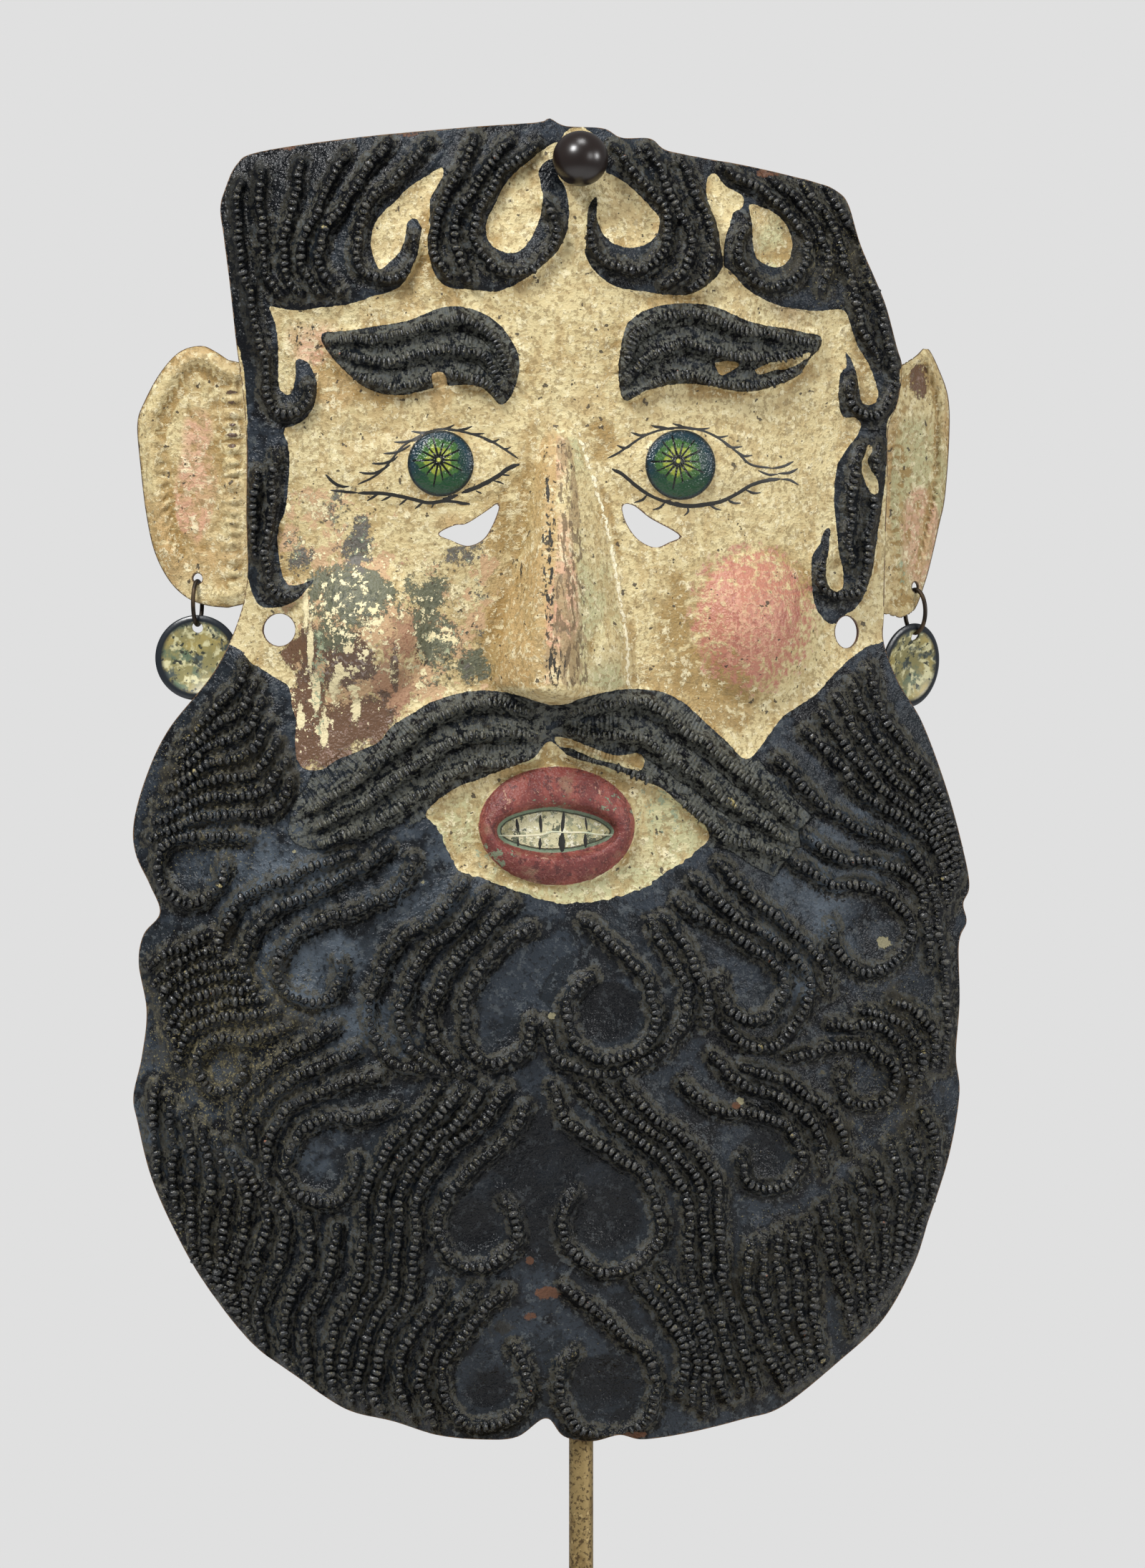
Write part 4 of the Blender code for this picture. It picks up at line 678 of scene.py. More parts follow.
def raisedSheet():
    # How far forward each grid point of the sheet lies: its curve, face, locks and hammer marks.
    x, y = meshX, meshY
    raised = face["noseHeight"] * blurred(noseField(x, y), 2.0)
    raised += face["lipHeight"] * blurred(lipField(x, y), 0.8)
    for middle, radii in face["cheeks"]:
        raised += face["cheekHeight"] * dome(x, y, middle, radii, 1.3)
    for middle, radii in face["wings"]:
        raised += face["wingHeight"] * dome(x, y, middle, radii, 1.0)
    for middle, radii in face["lids"]:
        raised += face["lidHeight"] * dome(x, y, middle, radii, 0.8)
    for middle, radius in face["irises"]:
        raised += face["irisHeight"] * dome(x, y, middle, (radius, radius), 0.5)
    for _, eye, _ in lockCurls["beard"]:
        raised -= locks["dish"] * dome(x, y, eye, (locks["dishRadius"], locks["dishRadius"]), 1.2)
    bed = blurred(np.clip(0.5 + blackField / 8, 0, 1), 3) * locks["bedHeight"]
    # A chased groove runs under each lock.
    foot = np.exp(-((fromCrest - 0.72 * halfLock) / (0.5 * locks["grooveWidth"])) ** 2)
    groove = blurred(foot * underRidge, 1)
    ribs = 0.5 + 0.5 * np.cos(2 * np.pi * lockAlong / 11)
    hairRibs = np.where(styleOf == styleNames.index("hair"), 0.35 * mm * ribs * lockShare, 0)
    strands = 0.5 + 0.5 * np.cos(2 * np.pi * lockAway / (1.7 * mm))
    strandRelief = np.where(styleOf == styleNames.index("moustache"), 0.3 * mm * strands * lockShare, 0)
    unevenly = 1 + 0.16 * randomField(x.shape, 14, 8)
    raised += lockShare * styleShare["rise"] * locks["height"] * unevenly + hairRibs + strandRelief
    raised += bed - locks["grooveDepth"] * groove * inBlack
    hammer = randomField(x.shape, 13, 3) * sheet["hammerDepth"]
    rough = (randomField(x.shape, 3.2, 5) + randomField(x.shape, 7, 6)) * sheet["roughDepth"]
    onLocks = np.clip(2 - lockAway / halfLock, 0, 1)
    marks = hammer * (1 - 0.5 * onLocks) + rough * (0.35 + 0.65 * onLocks)
    return shellDepth(x, y) + depthShift + raised + marks


frontDepth = raisedSheet()
softDepth = np.minimum(blurred(frontDepth, 1.4), blurred(lowest(frontDepth, 4), 1.4) + 0.2 * mm)
# Painted shade: how far each point lies below its surroundings, which the paint turns brown.
hollowShade = np.clip((blurred(frontDepth, 4) - frontDepth) / (0.9 * mm), 0, 1) * 0.6


def noseBands():
    # Regions across the nose: painted shade at its feet, two facets, the worn ridge and a painted highlight
    # by the right foot.
    table = np.array(noseSections, float).T
    left, right = np.interp(meshY, table[0], table[1]), np.interp(meshY, table[0], table[4])
    across = (meshX - left) / (right - left)
    length = np.clip((meshY - noseSpan["top"]) / 20, 0, 1)
    length *= np.clip((noseSpan["bottom"] - meshY) / 12, 0, 1)

    def band(low, high, soft):
        return length * np.clip(0.5 + np.minimum(across - low, high - across) / soft, 0, 1)

    # Painted shade: brown along both feet of the nose.
    leftFoot, rightFoot = (np.exp(-((meshX - foot) / wide) ** 2)
                           for foot, wide in ((left - 6, 12), (right + 6, 7)))
    feet = np.maximum(leftFoot, 0.8 * rightFoot) * np.clip((meshY - noseSpan["grimeTop"]) / 60, 0, 1)
    feet *= np.clip((noseSpan["grimeBottom"] - meshY) / 20, 0, 1)
    # The feet's painted shade joins the hollows' painted shade; the glint is a pale painted highlight on the
    # right edge.
    return {"hollowShade": np.maximum(feet, hollowShade), "tan": band(0.0, .42, .12), "pink": .8 * band(.36, .62, .1),
            "green": .9 * band(.60, 1.0, .1), "streak": band(.38, .72, .1),
            "glint": length * np.exp(-((meshX - right + 2) / 2.2) ** 2)}


noseRegions = noseBands()
print("sheet raised:", frontDepth.shape)


# Which grid points are sheet, and the paint's fields.
def holesOfSheet():
    radius = sheet["strapHole"] / 2 / unit
    knobRadius = (stand["shankDiameter"] / 2 + sheet["knobHoleRoom"]) / unit
    return [closedPath(slits["left"], 4), closedPath(slits["right"], 4),
            ovalPath(strapHoles["left"], (radius, radius), 60),
            ovalPath(strapHoles["right"], (radius * strapHoles["rightSquash"], radius), 60),
            ovalPath(knobHole, (knobRadius, knobRadius), 30)]


sheetField = shapeField(closedPath(outline, 5), gridX, gridY, 24)
for hole in holesOfSheet():
    sheetField = np.minimum(sheetField, -shapeField(hole, gridX, gridY, 24))

lipsField = shapeField(ovalPath(*face["lips"], 80), gridX, gridY)
teethField = shapeField(closedPath(toothArea, 5), gridX, gridY)


def spotField(spots, x, y):
    # Soft regions, each 1 times its strength in the middle.
    field = np.zeros(np.shape(x))
    for cx, cy, rx, ry, strength in spots:
        field = np.maximum(field, strength * dome(x, y, (cx, cy), (1.1 * rx, 1.1 * ry), 0.7))
    return field


# Where each grid point lies on its iris, in shares of its radius. Points off both stand well apart.
offIris = (0, 0, 9)
eyePlace = np.full((*meshX.shape, 3), offIris, float)
for middle, radius in face["irises"]:
    across, up = (meshX - middle[0]) / radius, (middle[1] - meshY) / radius
    near = np.hypot(across, up) < 1.6
    eyePlace[near] = np.stack([across, up, 0 * across], axis=-1)[near]
# Outlines as distances in millimetres, and regions from 0 to 1.
unitMm = unit / mm
paintFields = {
    "blackPaint": blackField * unitMm, "lipPaint": lipsField * unitMm, "toothPaint": teethField * unitMm,
    "sheetEdge": np.clip(sheetField, -3, 24) * unitMm, "lockRun": lockAlong * unitMm,
    "ribbing": styleShare["ribbing"] * inBlack, "lockRise": ridge * inBlack,
    "crest": np.exp(-(fromCrest / (1.3 * mm)) ** 2) * styleShare["greyCrest"] * inBlack,
    "skirt": np.clip(1.3 - np.abs(besideCrest / halfLock - 0.75) / 0.55, 0, 1) * inBlack,
    "slateFlat": blurred(np.clip((besideCrest - 0.8 * halfLock) / (2.0 * mm), 0, 1), 2),
    # Painted shadow: near-black along the lower side of each lock.
    "under": blurred(np.exp(-((fromCrest / halfLock - 0.78) / 0.28) ** 2) * underRidge, 1),
    # Painted light: the upper side of each lock a little paler.
    "litUpperFlank": np.clip(-fromCrest / halfLock, 0, 1) * (lockShare > 0) * pastEnd,
    "beadTop": 0 * meshX, **noseRegions,
}
for name, spots in finishSpots.items():
    paintFields[name] = np.maximum(paintFields.get(name, 0), spotField(spots, meshX, meshY))
print("paint laid out:", len(paintFields))


def addNode(tree, kind, settings=None, links=None):
    # Adds a node with its settings, and its inputs as values or as links from other nodes.
    node = tree.nodes.new(kind)
    for name, value in (settings or {}).items():
        setattr(node, name, value)
    for name, value in (links or {}).items():
        if isinstance(value, bpy.types.NodeSocket):
            tree.links.new(value, node.inputs[name])
        else:
            node.inputs[name].default_value = value
    return node


def toLinear(hexColour):
    # An sRGB hex colour as Blender's linear one.
    values = [int(hexColour[k:k + 2], 16) / 255 for k in (1, 3, 5)]
    return (*[v / 12.92 if v <= 0.04045 else ((v + 0.055) / 1.055) ** 2.4 for v in values], 1.0)


def newMaterial(name):
    material = bpy.data.materials.new(name)
    material.use_nodes = True
    return material, material.node_tree, material.node_tree.nodes["Principled BSDF"]


def laidOver(tree, amount, under, over):
    # One layer of a finish over another. Each is a colour and a roughness.
    colour = addNode(tree, "ShaderNodeMix", {"data_type": "RGBA"}, {0: amount, 6: under[0], 7: over[0]})
    gloss = addNode(tree, "ShaderNodeMix", {"data_type": "FLOAT"}, {0: amount, 2: under[1], 3: over[1]})
    return colour.outputs[2], gloss.outputs[0]


# Noise in the paint: size of its features in millimetres, detail, roughness, shift and upward stretch.
paintNoises = {
    "cloud": (26, 2, .5, 0, 1), "blotch": (9, 4, .66, 3, 1), "flake": (5, 5, .72, 7, 1),
    "chip": (3.2, 4, .7, 11, 1), "grain": (.9, 2, .6, 17, 1), "dustGrain": (1.6, 3, .75, 23, 1),
    "spots": (1.7, 2, .6, 29, 1), "sand": (.45, 1, .6, 31, 1), "brushed": (6, 3, .65, 0, 3),
    "nicks": (1.5, 3, .6, 37, 3.5), "strokes": (2.2, 3, .6, 41, .35), "patch": (9, 9, .85, 53, 1),
}
# The ground of each painted area, with its roughness, and its layers from the lowest up. Each layer has its
# field, noise, the noise's level, softness, colour, roughness and most cover.
paintGrounds = {"lips": ("#662E2A", .5), "teeth": ("#A8A27A", .5), "skin": ("#C2B285", .6),
                "black": ("#0E0F12", .28)}
paintLayers = {
    "lips": [
        ("all", "blotch", .48, .08, "#733731", .5, 1), ("all", "brushed", .50, .08, "#82433A", .5, .8),
        ("green", "blotch", .42, .12, "#7C6A52", .6, .6), ("all", "dustGrain", .55, .04, "#4F2321", .5, .9),
        ("all", "sand", .60, .05, "#98675A", .5, .5), ("all", "chip", .66, .02, "#A5806C", .6, 1),
    ],
    "teeth": [
        ("all", "blotch", .50, .06, "#BDB794", .45, 1), ("all", "dustGrain", .56, .04, "#D6D3BC", .45, .9),
        ("all", "grain", .55, .05, "#7F8268", .5, .9), ("all", "flake", .56, .02, "#4C5241", .5, 1),
    ],
    "skin": [

        ("all", "cloud", .46, .12, "#C0B287", .6, 1), ("all", "blotch", .50, .10, "#B09D6E", .6, .5),
        # Tan and green take in some painted shade by the nose and the right cheek.
        ("tan", "cloud", .32, .14, "#A5824F", .6, .75), ("green", "cloud", .34, .12, "#A9A880", .6, .8),
        # The brown in the hollows is painted shade.
        ("pink", "cloud", .36, .12, "#BF8E78", .6, .7), ("hollowShade", "blotch", .30, .16, "#8A6D39", .62, .85),
        ("all", "brushed", .53, .06, "#A78F60", .6, .55), ("all", "strokes", .55, .04, "#A48D60", .6, .45),
        ("all", "strokes", .42, -.04, "#D6CA9F", .6, .45),
        ("all", "dustGrain", .56, .04, "#DDD3AF", .66, .5),
        ("all", "chip", .61, .03, "#E0D6B2", .66, .6), ("all", "grain", .55, .04, "#806C44", .62, .6),
        ("blush", "dustGrain", .30, .22, "#A56A58", .40, .95),
        ("blush", "brushed", .52, .06, "#94584C", .38, .55),
        ("blush", "nicks", .56, .03, "#BE8D76", .5, .6), ("blush", "grain", .56, .03, "#C09A7C", .5, .6),
        ("streak", "brushed", .50, .03, "#8B7655", .6, .7),
        ("streak", "nicks", .54, .02, "#5E4C34", .6, .8),
        # A painted highlight: a pale line down the nose's right edge.
        ("glint", "grain", .35, .1, "#E8DFC0", .5, .9),
        ("worn", "flake", .44, .012, "#B39470", .6, 1), ("salmon", "patch", .42, .012, "#9E7A5E", .55, 1),
        ("salmon", "grain", .56, .03, "#7F5540", .55, .7), ("core", "patch", .40, .02, "#5B4637", .36, 1),
        # The core's grey grain is painted glints on its bare brown metal.
        ("core", "grain", .54, .03, "#8C7F76", .36, .7), ("olive", "patch", .41, .012, "#5C5D49", .5, 1),
        ("olive", "dustGrain", .52, .02, "#7C7A63", .55, .8),
        ("olive", "grain", .55, .02, "#3A3D2F", .5, .7),
        ("slate", "patch", .43, .012, "#5C5850", .5, 1),
        ("slate", "dustGrain", .52, .02, "#76806A", .6, .8),
        ("slate", "grain", .55, .02, "#353830", .5, .7), ("coppery", "patch", .38, .02, "#634936", .4, 1),
        ("coppery", "dustGrain", .56, .03, "#8A6F62", .5, .6),
        ("worn", "dustGrain", .565, .01, "#DCD0A8", .65, 1), ("worn", "flake", .57, .01, "#D8CBA0", .62, 1),
        ("flakes", "patch", .42, .012, "#D6C9A0", .62, 1),
        ("crack", "nicks", .54, .012, "#2B261C", .6, 1), ("crack", "grain", .58, .02, "#2B261C", .6, .9),
        ("all", "spots", .69, .012, "#3A3022", .6, .9), ("all", "chip", .72, .01, "#453B2B", .6, .9),
    ],
    "black": [

        ("all", "cloud", .44, .14, "#121519", .3, 1), ("slateFlat", "blotch", .40, .12, "#282E35", .36, 1),
        # Painted light on each lock's upper side.
        ("litUpperFlank", "blotch", .38, .14, "#1B2025", .36, .9),
        # Painted light: paler patches where the beard turns to the light.
        ("matte", "blotch", .22, .30, "#4B545D", .45, .9),
        # Painted shade: darker black in the curl eyes.
        ("deep", "cloud", .34, .12, "#0B0D10", .25, .95),
        ("skirt", "dustGrain", .42, .07, "#403E35", .55, .85),
        # Painted shadow under each lock.
        ("under", "grain", .32, .10, "#030404", .5, .95),
        ("ribbing", "dustGrain", .40, .07, "#55564F", .45, .9),
        ("crest", "dustGrain", .38, .08, "#62635A", .5, .85), ("all", "grain", .57, .05, "#0C0E11", .3, .6),
        ("all", "dustGrain", .56, .05, "#484D50", .5, .6),
        ("lockRise", "dustGrain", .50, .06, "#3E3B33", .55, .7),
        # More painted shade in the same places.
        ("deep", "cloud", .30, .10, "#0D0F12", .25, .6),
        ("dust", "blotch", .44, .08, "#2E2A20", .6, .6),
        ("dust", "dustGrain", .52, .03, "#5A5440", .65, .8),
        ("lockRise", "sand", .60, .04, "#6F6A50", .5, .5), ("dust", "sand", .57, .04, "#857C58", .65, .6),
        ("lockRise", "flake", .66, .015, "#8F8358", .6, 1),
        ("lockRise", "chip", .70, .01, "#7C4F36", .5, 1),
        # Painted highlight: the beads' tops a little paler.
        ("beadTop", "grain", .40, .12, "#1A1D1F", .32, .8),
        ("chips", "patch", .44, .02, "#573C2D", .5, 1), ("scuffs", "flake", .46, .02, "#8A8468", .6, .9),
    ],
}
# A smooth step needs no clamp, and so keeps this large material within what Cycles can hold.
smoothStep = {"interpolation_type": "SMOOTHSTEP", "clamp": False}


def noisesOf(tree):
    place = addNode(tree, "ShaderNodeTexCoord").outputs["Object"]
    noises = {}
    for name, (size, detail, rough, shift, stretch) in paintNoises.items():
        moved = addNode(tree, "ShaderNodeMapping", {}, {
            "Vector": place, "Location": (shift, shift, 0), "Scale": (stretch ** .5, 1, stretch ** -.5)})
        noise = addNode(tree, "ShaderNodeTexNoise", {}, {
            "Vector": moved.outputs[0], "Scale": 500 / size, "Detail": detail, "Roughness": rough})
        noises[name] = noise.outputs["Fac"]
    return noises


def cover(tree, noises, name, noise, level, soft, most):
    # How much a layer covers. Where its field is 1 it shows above that level of the noise, at 0 nowhere.
    region = 1.0
    if name != "all":
        region = addNode(tree, "ShaderNodeAttribute", {"attribute_name": name}).outputs["Fac"]
        most = addNode(tree, "ShaderNodeMapRange", smoothStep, {
            "Value": region, "From Max": .15, "To Max": most}).outputs[0]
    raised = addNode(tree, "ShaderNodeMath", {"operation": "MULTIPLY_ADD"}, {
        0: region, 1: .25, 2: noises[noise]}).outputs[0]
    level += .25
    return addNode(tree, "ShaderNodeMapRange", smoothStep, {
        "Value": raised, "From Min": level, "From Max": level + soft, "To Max": most}).outputs[0]


def inside(tree, noises, name, reach, soft):
    # The inner side of an outline, from its distance in millimetres, with a slightly broken edge.
    away = addNode(tree, "ShaderNodeAttribute", {"attribute_name": name}).outputs["Fac"]
    broken = addNode(tree, "ShaderNodeMath", {"operation": "MULTIPLY_ADD"}, {
        0: noises["grain"], 1: .6, 2: away}).outputs[0]
    reach += .3
    return addNode(tree, "ShaderNodeMapRange", smoothStep, {
        "Value": broken, "From Min": reach, "From Max": reach + soft}).outputs[0]


def layered(tree, noises, area):
    ground, rough = paintGrounds[area]
    surface = (toLinear(ground), rough)
    for *where, hexColour, rough, most in paintLayers[area]:
        surface = laidOver(tree, cover(tree, noises, *where, most), surface, (toLinear(hexColour), rough))
    return surface


def irisPaint(tree, grain):
    # Dark green glass-smooth paint with a ragged yellow-green star and black rays, and where it lies.
    eye = addNode(tree, "ShaderNodeAttribute", {"attribute_name": "eyePlace"}).outputs["Vector"]
    starEye = addNode(tree, "ShaderNodeVectorMath", {"operation": "ADD"}, {0: eye, 1: (.06, -.10, 0)})
    values = {"grain": grain}
    for prefix, way in (("iris", eye), ("star", starEye.outputs[0])):
        sides = addNode(tree, "ShaderNodeSeparateXYZ", {}, {0: way})
        reach = addNode(tree, "ShaderNodeVectorMath", {"operation": "LENGTH"}, {0: way})
        values.update({prefix + "Across": sides.outputs[0], prefix + "Up": sides.outputs[1],
                       prefix + "Reach": reach.outputs["Value"]})
    # Each row makes a value of those above it. A STEP goes smoothly from 0 at one level to 1 at the next.
    for name, operation, *given in (
            ("angle", "ARCTAN2", "starUp", "starAcross"), ("fiveRound", "MULTIPLY_ADD", "angle", 5, 1),
            ("uneven", "SINE", "fiveRound"), ("sevenRound", "MULTIPLY", "angle", 7),
            ("bent", "MULTIPLY_ADD", "uneven", .22, "sevenRound"), ("wave", "SINE", "bent"),
            ("offRay", "ABSOLUTE", "wave"), ("fromRay", "MULTIPLY", "offRay", "starReach"),
            ("thin", "STEP", "fromRay", .24, .14),
            ("unevenReach", "MULTIPLY_ADD", "uneven", .13, "starReach"),
            ("short", "STEP", "unevenReach", .72, .62), ("ray", "MULTIPLY", "thin", "short"),
            ("offMiddle", "STEP", "starReach", .04, .08), ("rays", "MULTIPLY", "ray", "offMiddle"),
            ("grainyReach", "MULTIPLY_ADD", "grain", .35, "starReach"),
            ("starEdge", "MULTIPLY_ADD", "uneven", .05, "grainyReach"),
            ("low", "STEP", "irisUp", -.1, -.6), ("within", "STEP", "irisReach", .95, .85),
            ("lowHalf", "MULTIPLY", "low", "within"),
            ("ring", "STEP", "irisReach", .98, .86), ("field", "STEP", "irisReach", .86, .66),
            ("starRim", "STEP", "starEdge", .84, .76), ("star", "STEP", "starEdge", .62, .52),
            ("starHeart", "STEP", "starEdge", .38, .26), ("iris", "STEP", "irisReach", 1.0, .97)):
        given = [values.get(value, value) for value in given]
        if operation == "STEP":
            step = dict(zip(("Value", "From Min", "From Max"), given))
            node = addNode(tree, "ShaderNodeMapRange", smoothStep, step)
        else:
            node = addNode(tree, "ShaderNodeMath", {"operation": operation}, dict(enumerate(given)))
        values[name] = node.outputs[0]
    colour = toLinear("#0C171B")
    for name, hexColour in (("ring", "#192F38"), ("field", "#17322D"), ("lowHalf", "#1C3F26"),
                            ("starRim", "#37592A"), ("star", "#868F36"), ("starHeart", "#A9AC4C"),
                            ("rays", "#070C08")):
        colour = addNode(tree, "ShaderNodeMix", {"data_type": "RGBA"}, {
            0: values[name], 6: colour, 7: toLinear(hexColour)}).outputs[2]
    return colour, values["iris"]


def paintHeight(tree, noises, colour, blackMask):
    # Brush marks, pits, the paint's thickness, and fine ribs that cross the brows and the moustache.
    run, ribbing = (addNode(tree, "ShaderNodeAttribute", {"attribute_name": name}).outputs["Fac"]
                    for name in ("lockRun", "ribbing"))
    turn = addNode(tree, "ShaderNodeMath", {"operation": "MULTIPLY"}, {0: run, 1: 2 * math.pi / 1.7})
    wave = addNode(tree, "ShaderNodeMath", {"operation": "SINE"}, {0: turn.outputs[0]})
    ribs = addNode(tree, "ShaderNodeMath", {"operation": "MULTIPLY"}, {0: wave.outputs[0], 1: ribbing})
    tone = addNode(tree, "ShaderNodeRGBToBW", {}, {0: colour})
    height = noises["chip"]
    for layer, share in ((noises["grain"], .8), (noises["sand"], .4), (noises["brushed"], .5),
                         (blackMask, .35), (ribs.outputs[0], .35), (tone.outputs[0], .8)):
        height = addNode(tree, "ShaderNodeMath", {"operation": "MULTIPLY_ADD"}, {
            0: layer, 1: share, 2: height}).outputs[0]
    return height


def oilPaintOnCopper():
    # Old oil paint on hammered copper: chalky cream skin and blue-black hair with a soft gloss, worn
    # through to green-grey and brown metal. The eye reads it by its flakes, dark pits and dusty ridges.
    # Shade and light are painted in as well: brown in hollows, black under locks, paler upper sides and bead
    # tops.
    material, tree, shader = newMaterial("oilPaintOnCopper")
    noises = noisesOf(tree)
    lips, teeth, skin, black = (layered(tree, noises, area) for area in ("lips", "teeth", "skin", "black"))
    irisColour, irisMask = irisPaint(tree, noises["dustGrain"])
    blackMask = inside(tree, noises, "blackPaint", 0, .12)
    sheetMask = inside(tree, noises, "sheetEdge", .2, .2)
    edgeMask = addNode(tree, "ShaderNodeMath", {"operation": "SUBTRACT"}, {0: 1.0, 1: sheetMask}).outputs[0]
    surface = skin
    for amount, over in (
            (inside(tree, noises, "lipPaint", .1, .3), lips),
            (inside(tree, noises, "toothPaint", 0, .3), (toLinear("#6B7A64"), .6)),
            (inside(tree, noises, "toothPaint", 1.0, .4), (toLinear("#2F3426"), .5)),
            (inside(tree, noises, "toothPaint", 1.5, .4), teeth), (irisMask, (irisColour, .2)),
            (cover(tree, noises, "verdigris", "dustGrain", .46, .04, .75), (toLinear("#7C8C72"), .65)),
            (blackMask, black), (edgeMask, (toLinear("#5E4832"), .5))):
        surface = laidOver(tree, amount, surface, over)
    tree.links.new(surface[0], shader.inputs["Base Color"])
    tree.links.new(surface[1], shader.inputs["Roughness"])
    # The black's ground is dull, and its beads are rubbed glossy.
    beadTop = addNode(tree, "ShaderNodeAttribute", {"attribute_name": "beadTop"}).outputs["Fac"]
    glint = addNode(tree, "ShaderNodeMath", {"operation": "MULTIPLY_ADD"}, {0: beadTop, 1: .36, 2: .2})
    sheen = addNode(tree, "ShaderNodeMix", {"data_type": "FLOAT"}, {
        0: blackMask, 2: .42, 3: glint.outputs[0]})
    tree.links.new(sheen.outputs[0], shader.inputs["Specular IOR Level"])
    height = paintHeight(tree, noises, surface[0], blackMask)
    bump = addNode(tree, "ShaderNodeBump", {}, {"Strength": .9, "Distance": 0.8 * mm, "Height": height})
    tree.links.new(bump.outputs[0], shader.inputs["Normal"])
    return material


def plainFinish(name, base, rows, rough, metallic, bumpSize, bumpDistance, rim=None):
    # A base colour with broken layers over it. Each has its size in mm, start, full cover, colour and
    # roughness.
    material, tree, shader = newMaterial(name)
    place = addNode(tree, "ShaderNodeTexCoord").outputs["Object"]
    surface = (toLinear(base), rough)
    for k, (size, start, full, hexColour, newRough) in enumerate(rows):
        moved = addNode(tree, "ShaderNodeMapping", {}, {"Vector": place, "Location": (k, 2 * k, 0)})
        noise = addNode(tree, "ShaderNodeTexNoise", {}, {
            "Vector": moved.outputs[0], "Scale": 500 / size, "Detail": 5, "Roughness": .6})
        amount = addNode(tree, "ShaderNodeMapRange", {}, {
            "Value": noise.outputs["Fac"], "From Min": start, "From Max": full})
        surface = laidOver(tree, amount.outputs[0], surface, (toLinear(hexColour), newRough))
    if rim:
        # A painted band, from its own attribute.
        band, start, full, hexColour, newRough = rim
        reach = addNode(tree, "ShaderNodeAttribute", {"attribute_name": band}).outputs["Fac"]
        amount = addNode(tree, "ShaderNodeMapRange", {}, {
            "Value": reach, "From Min": start, "From Max": full})
        surface = laidOver(tree, amount.outputs[0], surface, (toLinear(hexColour), newRough))
    tree.links.new(surface[0], shader.inputs["Base Color"])
    tree.links.new(surface[1], shader.inputs["Roughness"])
    shader.inputs["Metallic"].default_value = metallic
    dents = addNode(tree, "ShaderNodeTexNoise", {}, {"Vector": place, "Scale": 500 / bumpSize, "Detail": 4})
    bump = addNode(tree, "ShaderNodeBump", {}, {
        "Strength": .5, "Distance": bumpDistance, "Height": dents.outputs["Fac"]})
    tree.links.new(bump.outputs[0], shader.inputs["Normal"])
    return material


paint = oilPaintOnCopper()
# Ink put on with a fine brush: matt and near black, browner where it is thin.
inkPaint = plainFinish("blackInkLine", "#14130F", [(5, .55, .7, "#2C2A22", .6)], .5, 0.0, 1.0, 0.1 * mm)
# Pale metal and paint that a scratch has laid bare: a light broken line.
paleLine = plainFinish("paleScratchedLine", "#D8D2B4", [
    (4, .5, .65, "#A9B49A", .6)], .5, 0.0, 1.0, 0.1 * mm)
# Iron wire blackened by age: dark, with dull brown rust.
wireMetal = plainFinish("blackenedIronWire", "#2A231C", [
    (4, .5, .62, "#4A3C2C", .55)], .45, .7, 1.0, 0.1 * mm)
# Glossy mottled ochre and green in a brushed blue-black band.
discPaint = plainFinish("ochreGreenPaintOnDiscs", "#807A50", [
    (9, .46, .6, "#A39355", .42), (6, .53, .62, "#55664F", .5), (2, .50, .58, "#C4BF94", .5),
    (4, .56, .62, "#3A4440", .5), (1.2, .58, .62, "#2A2E22", .5)], .34, 0.0, 1.5, 0.2 * mm,
    rim=("discReach", .80, .88, "#161C22", .3))
# Lacquer on a turned ball: nearly black brown, with sharp highlights.
knobPaint = plainFinish("darkBrownLacquer", "#150E0C", [
    (30, .45, .6, "#1D1310", .3)], .28, 0.0, 3.0, 0.05 * mm)
# Brass dulled by age: a soft shine under fine dark speckles.
speckledBrass = plainFinish("speckledAgedBrass", "#8E7A50", [
    (4, .50, .6, "#77633E", .5), (.7, .53, .60, "#4E3E25", .6), (.9, .60, .66, "#A89366", .4)],
    .45, .6, 0.8, 0.15 * mm)
# Bare hammered copper, long browned by air: warm and dark, with small green spots.
backCopper = plainFinish("darkCopperBack", "#6B4A38", [
    (16, .45, .6, "#57392B", .5), (6, .54, .64, "#7F6A4E", .5), (3, .62, .68, "#5F7C68", .7)],
    .45, .75, 2.0, 0.4 * mm)


# Pieces.
def finishPiece(piece, material, node):
    piece.data.materials.clear()
    piece.data.materials.append(material)
    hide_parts(node)
    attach(piece, "root")
    print(piece.name, "finished:", len(piece.data.polygons), "faces")


def setPaint(mesh, fields):
    # Writes the paint's fields on a mesh. A field that isn't given is 0, or well outside its outline.
    for key in paintFields:
        plain = -9.0 if key.endswith("Paint") else 0.0
        values = np.asarray(fields.get(key, np.full(len(mesh.vertices), plain)), np.float32)
        mesh.attributes.new(key, "FLOAT", "POINT").data.foreach_set("value", values)
    spot = np.asarray(fields.get("eyePlace", np.full((len(mesh.vertices), 3), offIris)), np.float32)
    mesh.attributes.new("eyePlace", "FLOAT_VECTOR", "POINT").data.foreach_set("vector", spot.ravel())


def placedObject(name, data):
    thing = bpy.data.objects.new(name, data)
    bpy.context.scene.collection.objects.link(thing)
    return thing


def meshPiece(name, corners, faces):
    mesh = bpy.data.meshes.new(name)
    mesh.from_pydata(np.asarray(corners).tolist(), [], faces)
    mesh.shade_smooth()
    return placedObject(name, mesh)


def meshedPiece(name, holder):
    # What a curve and its modifiers make, as a plain mesh piece. The curve's own object goes.
    mesh = bpy.data.meshes.new_from_object(holder.evaluated_get(bpy.context.evaluated_depsgraph_get()))
    mesh.name = name
    bpy.data.objects.remove(holder, do_unlink=True)
    return placedObject(name, mesh)


